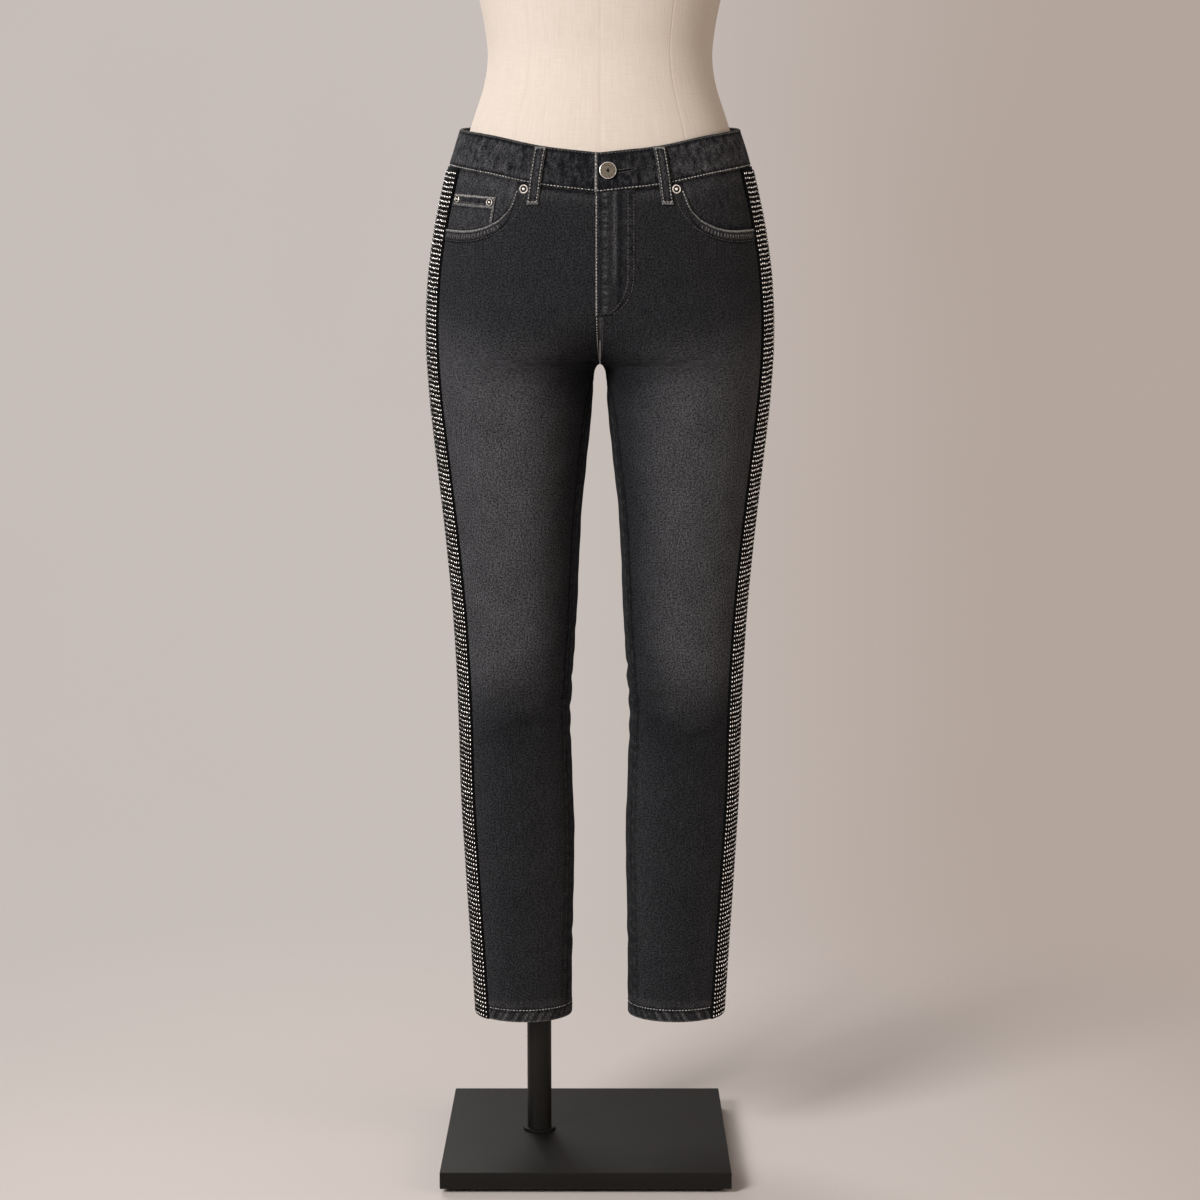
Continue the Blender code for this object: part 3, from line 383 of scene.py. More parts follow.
def newPiece(name, vertices, faces, material, uv, values=None, sharp=50):
    mesh = bpy.data.meshes.new(name)
    mesh.from_pydata(np.asarray(vertices, float).tolist(), [], np.asarray(faces).tolist())
    mesh.update()
    layer = mesh.uv_layers.new(name="cloth")
    corners = np.empty(len(mesh.loops), int)
    mesh.loops.foreach_get("vertex_index", corners)
    layer.data.foreach_set("uv", np.asarray(uv, float)[corners].ravel())
    for key, data in (values or {}).items():
        attribute = mesh.attributes.new(key, "FLOAT", "POINT")
        attribute.data.foreach_set("value", np.asarray(data, float).ravel())
    smoothMesh(mesh, sharp)
    mesh.materials.append(material)
    return setPiece(name, mesh)


def gridQuads(rows, columns, shift=0):
    a = np.arange(rows * columns).reshape(rows, columns) + shift
    return np.stack([a[:-1, :-1], a[:-1, 1:], a[1:, 1:], a[1:, :-1]], axis=-1).reshape(-1, 4)


def rimQuads(rows, columns):
    # walks round the edge of the grid and joins it to the same walk on the inner layer
    a = np.arange(rows * columns).reshape(rows, columns)
    walk = np.concatenate([a[0, :-1], a[:-1, -1], a[-1, :0:-1], a[:0:-1, 0]])
    after = np.roll(walk, -1)
    shift = rows * columns
    return np.stack([walk, walk + shift, after + shift, after], axis=-1)


def tubeQuads(sides, bands):
    # faces between rings of points that follow each other, all of the same number
    ring = np.arange(sides)
    after = (ring + 1) % sides
    return np.concatenate([np.stack([ring + k * sides, after + k * sides, after + (k + 1) * sides,
                                     ring + (k + 1) * sides], -1) for k in range(bands)])


def shellFaces(rows, columns):
    return np.concatenate([
        gridQuads(rows, columns),
        gridQuads(rows, columns, rows * columns)[:, ::-1],
        rimQuads(rows, columns)])


def clothShell(name, outer, inner, u, v, material, values=None):
    rows, columns = outer.shape[:2]
    vertices = np.concatenate([outer.reshape(-1, 3), inner.reshape(-1, 3)])
    uv = np.stack([np.broadcast_to(length, (rows, columns)).ravel() for length in (u, v)], -1)
    both = {}
    for key, data in (values or {}).items():
        flat = np.broadcast_to(data, (rows, columns)).ravel()
        both[key] = np.concatenate([flat, flat])
    return newPiece(name, vertices, shellFaces(rows, columns), material, np.concatenate([uv, uv]), both)


def denimPiece(name, node, outer, inner, u, v, values):
    # a cloth piece with its wash and its painted shade, in the place of its plain solid
    piece = clothShell(name, outer, inner, u, v, denim, values)
    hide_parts(node)
    return piece, outer


def flatCut(outer):
    # the sheet's width, length and area, measured over its outer layer
    across = np.linalg.norm(np.diff(outer, axis=1), axis=-1).sum(1).max()
    down = np.linalg.norm(np.diff(outer, axis=0), axis=-1).sum(0).max()
    a, b, c, d = outer[:-1, :-1], outer[:-1, 1:], outer[1:, 1:], outer[1:, :-1]
    area = 0.5 * np.linalg.norm(np.cross(c - a, d - b), axis=-1).sum()
    return float(across), float(down), float(min(area, across * down))


def declareSheet(piece, outer):
    across, down, area = flatCut(outer)
    print("  cut", piece.name, round(across, 3), "x", round(down, 3), "m, area", round(area, 4), "m2")


# shader maths

class Wire:
    # a shader socket that takes part in expressions
    def __init__(self, tree, socket):
        self.tree = tree
        self.socket = socket

    def node(self, kind, settings=None, values=None, out=0):
        made = self.tree.nodes.new(kind)
        for name, value in (settings or {}).items():
            if name == "stops":
                ramp = made.color_ramp
                while len(ramp.elements) > len(value):
                    ramp.elements.remove(ramp.elements[-1])
                while len(ramp.elements) < len(value):
                    ramp.elements.new(0.5)
                for element, (place, colour) in zip(ramp.elements, value):
                    element.position = place
                    element.color = (*colour, 1.0)
            else:
                setattr(made, name, value)
        for name, value in (values or {}).items():
            if isinstance(value, Wire):
                self.tree.links.new(value.socket, made.inputs[name])
            else:
                made.inputs[name].default_value = value
        return Wire(self.tree, made.outputs[out])

    def maths(self, operation, first, second, clamp=False):
        return self.node("ShaderNodeMath", {"operation": operation, "use_clamp": clamp},
                         {0: first, 1: second})

    def __add__(self, other):
        return self.maths("ADD", self, other)

    def __radd__(self, other):
        return self.maths("ADD", other, self)

    def __sub__(self, other):
        return self.maths("SUBTRACT", self, other)

    def __rsub__(self, other):
        return self.maths("SUBTRACT", other, self)

    def __mul__(self, other):
        return self.maths("MULTIPLY", self, other)

    def __rmul__(self, other):
        return self.maths("MULTIPLY", other, self)

    def within(self, low, high):
        # 0 below low, 1 above high, smooth between
        return self.node("ShaderNodeMapRange", {"interpolation_type": "SMOOTHSTEP"},
                         {"Value": self, "From Min": low, "From Max": high})

    def clamped(self):
        return self.maths("ADD", self, 0.0, clamp=True)

    def atLeast(self, low):
        return self.maths("MAXIMUM", self, low)

    def blend(self, first, second):
        # colours: first where this is 0, second where it is 1
        return self.node("ShaderNodeMix", {"data_type": "RGBA", "clamp_factor": True},
                         {0: self, 6: first, 7: second}, out=2)

    def scaled(self, size):
        return self.node("ShaderNodeVectorMath", {"operation": "MULTIPLY"}, {0: self, 1: size})


def rgb(red, green, blue):
    # a colour given as on a screen, 0 to 255
    def linear(value):
        value = value / 255
        return value / 12.92 if value <= 0.04045 else ((value + 0.055) / 1.055) ** 2.4

    return (linear(red), linear(green), linear(blue), 1.0)


def newMaterial(name):
    material = bpy.data.materials.new(name)
    material.use_nodes = True
    tree = material.node_tree
    shader = tree.nodes["Principled BSDF"]
    return material, Wire(tree, None), shader


def feed(wire, shader, **values):
    for name, value in values.items():
        socket = shader.inputs[{
            "colour": "Base Color", "roughness": "Roughness", "metallic": "Metallic", "normal": "Normal",
            "specular": "Specular IOR Level"}[name]]
        if isinstance(value, Wire):
            wire.tree.links.new(value.socket, socket)
        else:
            socket.default_value = value


def noise(wire, place, scale, detail=3.0, rough=0.6, dimensions="2D"):
    return wire.node("ShaderNodeTexNoise", {"noise_dimensions": dimensions},
                     {"Vector": place, "Scale": scale, "Detail": detail, "Roughness": rough})


def bumpNormal(wire, height, strength, distance):
    return wire.node("ShaderNodeBump", {}, {"Height": height, "Strength": strength, "Distance": distance})


denimLook = {
    "deep": rgb(19, 20, 23),         # unfaded black
    "worn": rgb(98, 97, 100),        # worn through to grey
    "bare": rgb(172, 170, 168),      # abraded edges, white weft
    "grain": 620.0,                  # salt and pepper of the twill, per metre
    "blots": 118.0,                  # crumpled patches at doubled seams
    "clouds": 24.0,                  # slow unevenness of the wash
    "ribs": 58.0,                    # slanting lines of the twill
    "lean": 1.05,                    # their turn, in radians
    "roughness": 0.88,
}


def makeDenim():
    # fade: how grey the cloth has washed, lowered where dark lines of painted shade lie beside seams and
    # edges, wear: bare edges, blot: how patchy it is
    look = denimLook
    material, wire, shader = newMaterial("washedBlackDenim")
    uv = wire.node("ShaderNodeUVMap", {"uv_map": "cloth"})
    fade, wear, blot = (wire.node("ShaderNodeAttribute", {"attribute_name": name}, out=2)
                        for name in ("fade", "wear", "blot"))
    salt = noise(wire, uv, look["grain"], 2.0, 0.62)
    fine = noise(wire, uv, look["grain"] * 2.3, 2.0, 0.6)
    clouds = noise(wire, uv, look["clouds"], 4.0, 0.55)
    blots = noise(wire, uv.scaled((1.25, 0.9, 1.0)), look["blots"], 5.0, 0.68)
    slubs = noise(wire, uv.scaled((700.0, 60.0, 1.0)), 1.0, 2.0, 0.6)
    turned = uv.node("ShaderNodeVectorRotate", {"rotation_type": "Z_AXIS"},
                     {"Vector": uv, "Angle": look["lean"]})
    ribs = wire.node("ShaderNodeTexWave", {"wave_type": "BANDS", "bands_direction": "X"},
                     {"Vector": turned, "Scale": look["ribs"], "Distortion": 0.7, "Detail": 1.0,
                      "Detail Scale": 3.0}, out=1)
    # the wash level also holds the painted shade lines laid into the fade values
    level = (fade * ((clouds - 0.5) * 0.6 + 1.0) + blot * (blots - 0.48) * 1.9).clamped()
    gain = ((salt - 0.5) * 4.4 + (fine - 0.5) * 2.2 + (slubs - 0.5) * 1.0 + 1.0).atLeast(0.25)
    body = level.blend(look["deep"], look["worn"]).scaled(gain)
    bare = (wear * (salt.within(0.34, 0.62) * 0.75 + 0.25)).clamped()
    colour = bare.blend(body, look["bare"])
    feed(wire, shader, colour=colour, roughness=look["roughness"], specular=0.06,
         normal=bumpNormal(wire, salt * 0.8 + ribs * 0.35 + blots * blot * 2.0, 0.6, 0.0005))
    return material


def makeThread(name, light, dark):
    material, wire, shader = newMaterial(name)
    place = wire.node("ShaderNodeTexCoord", out=3)
    shade = noise(wire, place, 420.0, 3.0, 0.7, "3D")
    twist = noise(wire, place, 2600.0, 2.0, 0.6, "3D")
    colour = shade.within(0.38, 0.62).blend(dark, light)
    feed(wire, shader, colour=colour, roughness=0.62, specular=0.3,
         normal=bumpNormal(wire, twist, 0.5, 0.0002))
    return material


def makeTape():
    material, wire, shader = newMaterial("blackTape")
    uv = wire.node("ShaderNodeUVMap", {"uv_map": "cloth"})
    ribs = wire.node("ShaderNodeTexWave", {"wave_type": "BANDS", "bands_direction": "Y"},
                     {"Vector": uv, "Scale": 45.0, "Distortion": 0.4, "Detail": 1.0}, out=1)
    grain = noise(wire, uv, 900.0, 2.0, 0.6)
    colour = (ribs * 0.4 + grain * 0.6).clamped().blend(rgb(7, 7, 8), rgb(22, 22, 24))
    feed(wire, shader, colour=colour, roughness=0.85, specular=0.04,
         normal=bumpNormal(wire, ribs + grain, 0.5, 0.0004))
    return material


beadLook = {
    "face": rgb(250, 248, 244),
    "dull": rgb(186, 183, 179),
    "seat": rgb(15, 14, 14),
}


def makeBeadFace():
    material, wire, shader = newMaterial("polishedBead")
    place = wire.node("ShaderNodeTexCoord", out=3)
    shade = noise(wire, place, 210.0, 1.0, 0.5, "3D")
    fine = noise(wire, place, 1900.0, 2.0, 0.5, "3D")
    colour = shade.within(0.36, 0.60).blend(beadLook["dull"], beadLook["face"])
    feed(wire, shader, colour=colour, metallic=0.98, roughness=(shade * 0.2 + 0.14),
         normal=bumpNormal(wire, fine, 0.10, 0.0002))
    return material


def makeBeadSeat():
    material, wire, shader = newMaterial("beadSeat")
    place = wire.node("ShaderNodeTexCoord", out=3)
    shade = noise(wire, place, 700.0, 2.0, 0.5, "3D")
    colour = shade.blend(beadLook["seat"], rgb(26, 25, 24))
    feed(wire, shader, colour=colour, roughness=0.7, specular=0.05,
         normal=bumpNormal(wire, shade, 0.15, 0.0002))
    return material


def makeMetal(name, light, dark, rough):
    material, wire, shader = newMaterial(name)
    place = wire.node("ShaderNodeTexCoord", out=3)
    shade = noise(wire, place, 900.0, 3.0, 0.6, "3D")
    scratch = noise(wire, place.scaled((300.0, 300.0, 2600.0)), 1.0, 2.0, 0.5, "3D")
    colour = shade.within(0.36, 0.64).blend(dark, light)
    feed(wire, shader, colour=colour, metallic=0.95, roughness=(shade * 0.18 + rough),
         normal=bumpNormal(wire, scratch, 0.08, 0.0002))
    return material


linenLook = {
    "light": rgb(224, 212, 200),
    "dark": rgb(211, 197, 184),
    "threads": 900.0,                # per metre, both ways
    "seam": rgb(196, 175, 153),
}


def makeLinen():
    look = linenLook
    material, wire, shader = newMaterial("formLinen")
    uv = wire.node("ShaderNodeUVMap", {"uv_map": "cloth"})
    seam = wire.node("ShaderNodeAttribute", {"attribute_name": "seam"}, out=2)
    warp = noise(wire, uv.scaled((look["threads"], 40.0, 1.0)), 1.0, 2.0, 0.6)
    weft = noise(wire, uv.scaled((40.0, look["threads"], 1.0)), 1.0, 2.0, 0.6)
    slubs = noise(wire, uv.scaled((420.0, 22.0, 1.0)), 1.0, 3.0, 0.6)
    clouds = noise(wire, uv, 12.0, 3.0, 0.5)
    weave = (warp - 0.5) * 0.9 + (weft - 0.5) * 0.8 + (slubs - 0.5) * 0.8
    level = (weave + (clouds - 0.5) * 0.3 + 0.6).clamped()
    colour = (seam * 0.22).blend(level.blend(look["dark"], look["light"]), look["seam"])
    feed(wire, shader, colour=colour, roughness=0.9, specular=0.2,
         normal=bumpNormal(wire, warp + weft + slubs * 0.6, 0.35, 0.0004))
    return material


def makeSteel():
    material, wire, shader = newMaterial("satinBlackSteel")
    place = wire.node("ShaderNodeTexCoord", out=3)
    cloud = noise(wire, place, 9.0, 4.0, 0.6, "3D")
    peel = noise(wire, place, 620.0, 2.0, 0.5, "3D")
    dust = noise(wire, place, 1500.0, 1.0, 0.5, "3D")
    colour = (cloud * 0.5 + dust.within(0.66, 0.78) * 0.3).clamped().blend(rgb(11, 10, 8), rgb(24, 21, 18))
    feed(wire, shader, colour=colour, roughness=(cloud * 0.14 + 0.38), specular=0.17,
         normal=bumpNormal(wire, peel, 0.05, 0.0003))
    return material


def makeRubber():
    material, wire, shader = newMaterial("footRubber")
    place = wire.node("ShaderNodeTexCoord", out=3)
    grain = noise(wire, place, 800.0, 3.0, 0.6, "3D")
    colour = grain.blend(rgb(14, 14, 14), rgb(38, 37, 36))
    feed(wire, shader, colour=colour, roughness=0.85, normal=bumpNormal(wire, grain, 0.3, 0.0003))
    return material


denim = makeDenim()
threadLight = makeThread("paleThread", rgb(218, 215, 210), rgb(134, 131, 128))
threadDim = makeThread("greyThread", rgb(100, 98, 96), rgb(50, 49, 48))
tape = makeTape()
beadFace = makeBeadFace()
beadSeat = makeBeadSeat()
gunmetal = makeMetal("gunmetal", rgb(226, 222, 216), rgb(150, 145, 138), 0.24)
bronze = makeMetal("agedBronze", rgb(112, 104, 93), rgb(58, 53, 47), 0.36)
darkMetal = makeMetal("darkGunmetal", rgb(34, 32, 30), rgb(12, 11, 11), 0.45)
threadBlack = makeThread("blackThread", rgb(44, 43, 43), rgb(20, 20, 20))
linen = makeLinen()
steel = makeSteel()
rubber = makeRubber()
print("materials made")


# panels

def columnsFrom(*runs):
    return np.concatenate([np.linspace(a, b, n, endpoint=False) for a, b, n in runs[:-1]]
                          + [np.linspace(*runs[-1])])


panel = {
    "frontAcross": columnsFrom((0.0, 0.06, 5), (0.06, 0.49, 21), (0.49, 0.65, 16), (0.65, 1.0, 15)),
    "backAcross": columnsFrom((0.0, 0.90, 50), (0.90, 1.0, 8)),
    "stripSteps": 5,
    "frontSplit": 0.940,             # below this level all columns share their heights
    "backSplit": 0.900,
    "frontTopRows": 26,
    "backTopRows": 30,
    "rowStep": 0.0029,
}


def commonLevels(top):
    # shared heights from the split down to the hem band, closer together round the crotch
    crotch = cut["crotch"]
    bottom = cut["hem"] + cut["hemDepth"] + cut["seam"]
    near = np.array([0.010, 0.008, 0.0062, 0.0046, 0.0032, 0.002, 0.001, 0.0])
    upper = np.linspace(top, crotch + 0.012, int((top - crotch) / panel["rowStep"]))
    lower = np.linspace(crotch - 0.012, bottom, int((crotch - bottom) / panel["rowStep"]))
    return np.concatenate([upper, crotch + near, crotch - near[::-1][1:], lower])


pocketCut = smoothLine(((cut["pocketStart"], float(waistSeam(1 - 0.5)) - 0.0005),) + pocketLine)


def frontAlong(across, z):
    inner = frontRun(z) + cut["seam"] / 2
    return inner + (-cut["stripHalf"] - inner) * across


def frontWay(across):
    return 1 - frontAlong(across, cut["seamMiddle"]) / frontRun(cut["seamMiddle"])


def panelFade(z, turn, side, front):
    # how far the black has washed to grey: strongest on the thigh, least at the inner side and knee; at the
    # inner side and the crotch this is partly painted shade between the legs
    turn = (turn + math.pi) % (2 * math.pi) - math.pi
    if front:
        out = np.clip(turn / 0.93, -1.2, 1.3)
        worn = ease((0.872 + 0.024 * out - z) / 0.085)
        worn = worn * ease((z + 0.014 * np.sin(2.3 * turn + 1.2 * side) - 0.438) / 0.118)
        thigh = 0.095 + 0.300 * ease((turn + 1.05) / 1.00)
        rest = np.where(z > 0.66, 0.090 + 0.040 * out ** 2, 0.090 + 0.080 * out ** 2)
        # darker on the inner side just below the crotch: partly the cloth's own wash, partly painted shade
        # between the legs
        crotch = 0.09 * bump(turn, -1.0, 0.45) * bump(z, 0.822, 0.030)
        knee = (0.040 if side < 0 else 0.065) * bump(z, 0.468, 0.040)
        return np.clip(rest + (thigh - rest) * worn - crotch - knee, 0.004, 1)
    back = np.abs(turn) - math.pi
    thigh = 0.20 * bump(back, 0.0, 0.85) * bump(z, 0.690, 0.110)
    hip = 0.20 * bump(back, -0.15, 0.80) * bump(z, 0.905, 0.060)
    knee = 0.08 * bump(back, 0.0, 0.8) * bump(z, 0.480, 0.040)
    shin = 0.06 * bump(back, 0.0, 0.7) * bump(z, 0.340, 0.100)
    # a little darker at the back just below the crotch: partly the cloth's own wash, partly painted shade
    # between the legs
    crotch = -0.05 * bump(back, 0.9, 0.5) * bump(z, 0.800, 0.050)
    whole = 0.085
    return np.clip(whole + thigh + knee + shin + hip + crotch, 0.004, 1)


def makeFrontPanel(side, tag):
    across = np.concatenate([panel["frontAcross"], np.ones(panel["stripSteps"])])
    underTape = np.concatenate([np.zeros(len(panel["frontAcross"])),
                            np.linspace(0, 1, panel["stripSteps"] + 1)[1:]])
    seamTop = waistSeam(frontWay(across)) - cut["seam"]
    cutTop = pocketCut(across)
    top = np.where(across <= cut["pocketStart"], seamTop, np.minimum(cutTop, seamTop))
    share = np.linspace(0, 1, panel["frontTopRows"], endpoint=False)[:, None] ** 1.25
    upper = top + (panel["frontSplit"] - top) * share
    shared = commonLevels(panel["frontSplit"])
    z = np.concatenate([upper, np.broadcast_to(shared[:, None], (len(shared), len(top)))])
    along = frontAlong(across, z) * (1 - underTape) + (-cut["seam"] / 2) * underTape
    u = along - frontRun(z)
    turn = turnAt(z, along)
    fromTop = np.broadcast_to(top, z.shape) - z
    pocketEdge = ease((across - cut["pocketStart"] - 0.004) / 0.02) * (1 - underTape)
    relief = frontRelief(z, u, side) * (1 - 0.8 * ease((along + 0.034) / 0.012))
    relief += 0.0008 * pocketEdge * ease(fromTop / 0.0006) * (1 - ease((fromTop - 0.0100) / 0.0022))
    relief += 0.0005 * pocketEdge * bump(fromTop, 0.0016, 0.0012)  # rolled edge
    felled = ease((cut["crotch"] - z) / 0.004)
    relief += 0.0005 * felled * (1 - ease((u - 0.0062) / 0.0022)) * ease(u / 0.0008)  # felled inseam
    underBand = 0.0003 * bump(fromTop, 0.004, 0.004) * (1 - pocketEdge) * ripple(u, 0.010, 3.0 * side)
    outer = mirror(skinTurn(z, turn, relief + underBand)[0], side)
    inner = mirror(skinTurn(z, turn, relief * 0.6 - cut["cloth"])[0], side)
    fade = panelFade(z, turn, side, True)
    wear = (0.75 if side < 0 else 0.95) * pocketEdge * bump(fromTop, 0.0008, 0.0012)
    gathers = ripple(z, inseamPucker["front"], 2.0 + side)
    wear += 0.08 * felled * bump(u, 0.0052, 0.0012) * np.clip(0.2 + gathers, 0, 1)
    wear += 0.22 * bump(u, 0.0, 0.0007) * (z > cut["crotch"])
    # a little below the band the cloth is lighter; right under the band a dark line of painted shadow
    fade += (0.10 * bump(fromTop, 0.007, 0.005) * (1 - pocketEdge)
             - 0.24 * bump(fromTop, 0.001, 0.0016) * (1 - pocketEdge))
    # lighter within the pocket's hem; just below the hem's edge a dark line of painted shadow
    fade += (0.05 * pocketEdge * bump(fromTop, 0.0060, 0.0030)
             - 0.16 * pocketEdge * bump(fromTop, 0.0112, 0.0014))
    # a dark line beside the pocket edge stitching: painted shade
    fade -= 0.14 * pocketEdge * bump(fromTop, 0.0028, 0.0007)
    # a darker band along the felled inseam: painted shade beside the seam
    fade -= 0.10 * felled * (1 - ease((u - 0.0075) / 0.003))
    # darker in the hollows beside the felled seam, following its puckers: painted shade
    puckerHollowShade = ripple(z, inseamPucker["front"], 3.5 + side)
    fade -= 0.10 * felled * bump(u, 0.0098, 0.0016) * np.clip(0.3 + puckerHollowShade, 0, 1)
    # on the right front, darker next to the centre where the fly's edge laps over it: painted shadow
    fade -= 0.06 * (1 - felled) * (1 - ease((u - 0.002) / 0.004)) * (side < 0)
    fade += 0.10 * felled * bump(u, 0.0035, 0.0025) * gathers
    fade += 0.10 * bump(z, cut["hem"] + cut["hemDepth"] + 0.004, 0.004)
    blot = 0.045 + 0.12 * bump(fromTop, 0.0, 0.012) + 0.10 * bump(z, cut["hem"] + cut["hemDepth"], 0.008)
    return denimPiece("panelFront" + tag, "front_panel_" + tag.lower(), outer, inner, u, z,
                      {"fade": np.clip(fade, 0.004, 1), "wear": np.clip(wear, 0, 1), "blot": blot})


def backWay(along):
    return 1 + along / backRun(cut["yokeSide"])


def yokeLine(way):
    return cut["yokeSide"] + (cut["yokeBack"] - cut["yokeSide"]) * (way - 1)


def backAlong(across, underTape, z):
    inner = backRun(z) - cut["seam"] / 2
    return np.where(underTape < 1, cut["seam"] / 2 + (cut["stripHalf"] - cut["seam"] / 2) * underTape,
                    cut["stripHalf"] + (inner - cut["stripHalf"]) * across)


def backGridColumns():
    across = np.concatenate([np.zeros(panel["stripSteps"]), panel["backAcross"]])
    underTape = np.concatenate([np.linspace(0, 1, panel["stripSteps"], endpoint=False),
                            np.ones(len(panel["backAcross"]))])
    return across, underTape


def makeBackPanel(side, tag):
    across, underTape = backGridColumns()
    atYoke = backAlong(across, underTape, np.full(len(across), cut["yokeSide"]))
    top = yokeLine(backWay(atYoke)) - cut["seam"]
    share = np.linspace(0, 1, panel["backTopRows"], endpoint=False)[:, None]
    upper = top + (panel["backSplit"] - top) * share
    shared = commonLevels(panel["backSplit"])
    z = np.concatenate([upper, np.broadcast_to(shared[:, None], (len(shared), len(top)))])
    along = backAlong(across, underTape, z)
    u = backRun(z) - along
    turn = turnAt(z, along)
    fromTop = np.broadcast_to(top, z.shape) - z
    clear = ease((along - 0.022) / 0.012)
    relief = backRelief(z, u, side) * (0.2 + 0.8 * clear)
    seat = (1 - ease((cut["crotch"] - z) / 0.004)) * (1 if side > 0 else 0)
    relief += 0.0006 * seat * (1 - ease((u - 0.0085) / 0.002)) * ease(u / 0.0008)  # felled seat seam
    outer = mirror(skinTurn(z, turn, relief)[0], side)
    inner = mirror(skinTurn(z, turn, relief * 0.6 - cut["cloth"])[0], side)
    fade = panelFade(z, turn, side, False)
    wear = 0.30 * bump(fromTop, 0.0, 0.0012) + 0.35 * seat * bump(u, 0.0090, 0.0010)
    gathers = ripple(z, inseamPucker["back"], 5.0 + side)
    wear += 0.12 * bump(u, 0.0045, 0.0012) * np.clip(0.2 + gathers, 0, 1)
    fade += 0.14 * bump(fromTop, 0.0, 0.008) + 0.14 * seat * (1 - ease((u - 0.010) / 0.003))
    fade += 0.10 * bump(u, 0.0045, 0.0030) * gathers
    fade += 0.12 * bump(z, cut["hem"] + cut["hemDepth"], 0.005)
    blot = 0.05 + 0.12 * bump(fromTop, 0.0, 0.012) + 0.10 * bump(u, 0.004, 0.006)
    return denimPiece("panelBack" + tag, "back_panel_" + tag.lower(), outer, inner, along, z,
                      {"fade": np.clip(fade, 0.004, 1), "wear": np.clip(wear, 0, 1), "blot": blot})


def makeYoke(side, tag):
    across, underTape = backGridColumns()
    atYoke = backAlong(across, underTape, np.full(len(across), cut["yokeSide"]))
    way = backWay(atYoke)
    top = waistSeam(way) - cut["seam"]
    low = yokeLine(way)
    rows = 28
    share = np.linspace(0, 1, rows)[:, None]
    z = top + (low - top) * share
    along = backAlong(across, underTape, z)
    fromLow = z - low
    turn = turnAt(z, along)
    relief = slack(along, z, 8.0 + side)
    relief += 0.0008 * (1 - ease((fromLow - 0.0085) / 0.002)) * ease(fromLow / 0.0006)  # lapped yoke seam
    relief += 0.0003 * bump(fromLow, 0.006, 0.004) * ripple(along, 0.011, 2.0 * side)
    relief *= ease((along + 0.001) / 0.003)
    outer = mirror(skinTurn(z, turn, relief)[0], side)
    inner = mirror(skinTurn(z, turn, relief * 0.3 - cut["cloth"])[0], side)
    wear = 0.45 * bump(fromLow, 0.0005, 0.0011)
    fade = 0.15 + 0.14 * (1 - ease((fromLow - 0.009) / 0.003)) + 0.10 * bump(z, top, 0.006)
    blot = 0.12 + 0.30 * (1 - ease((fromLow - 0.009) / 0.003)) + 0.2 * bump(z, top, 0.010)
    return denimPiece("yoke" + tag, "back_yoke_" + tag.lower(), outer, inner, along, z,
                      {"fade": fade, "wear": wear, "blot": blot})


def makeFacing(side, tag):
    across = np.concatenate([columnsFrom((cut["pocketFacingStart"], 0.60, 10), (0.60, 1.0, 22)),
                             np.ones(panel["stripSteps"])])
    underTape = np.concatenate([np.zeros(32), np.linspace(0, 1, panel["stripSteps"] + 1)[1:]])
    rows = 22
    low = pocketCut(across) - 0.004  # runs on under the panel's edge
    top = waistSeam(frontWay(across)) - cut["seam"]
    low = np.minimum(low, top - 0.001)
    z = top + (low - top) * np.linspace(0, 1, rows)[:, None]
    along = frontAlong(across, z) * (1 - underTape) + (-cut["seam"] / 2) * underTape
    turn = turnAt(z, along)
    base = np.full(z.shape, -0.0005)
    base = base - 0.0012 * ease((pocketCut(across) + 0.0015 - z) / 0.0015)
    relief = base + 0.6 * slack(along, z, 11.0 + side)
    outer = mirror(skinTurn(z, turn, relief)[0], side)
    inner = mirror(skinTurn(z, turn, relief - 0.0010)[0], side)
    # darker where it shows in the pocket's opening and in a thin line under the waistband: painted shade and
    # shadow
    fade = ((0.20 if side < 0 else 0.15) + 0.10 * bump(z, top - 0.008, 0.006)
            - 0.14 * bump(z, pocketCut(across), 0.004))
    fade = fade - 0.12 * bump(z, top, 0.0015)
    blot = (0.30 if side < 0 else 0.20) + 0.12 * bump(z, top, 0.010)
    return denimPiece("pocketFacing" + tag, "pocket_facing_" + tag.lower(), outer, inner, along, z,
                      {"fade": np.clip(fade, 0.004, 1), "wear": 0 * z, "blot": blot})


coinPocket = {
    "from": 0.640, "to": 0.975,      # shares across the front panel
    "topInner": 0.9920, "topOuter": 0.9975,
    "lift": 0.0009, "rows": 44, "columns": 44,
}


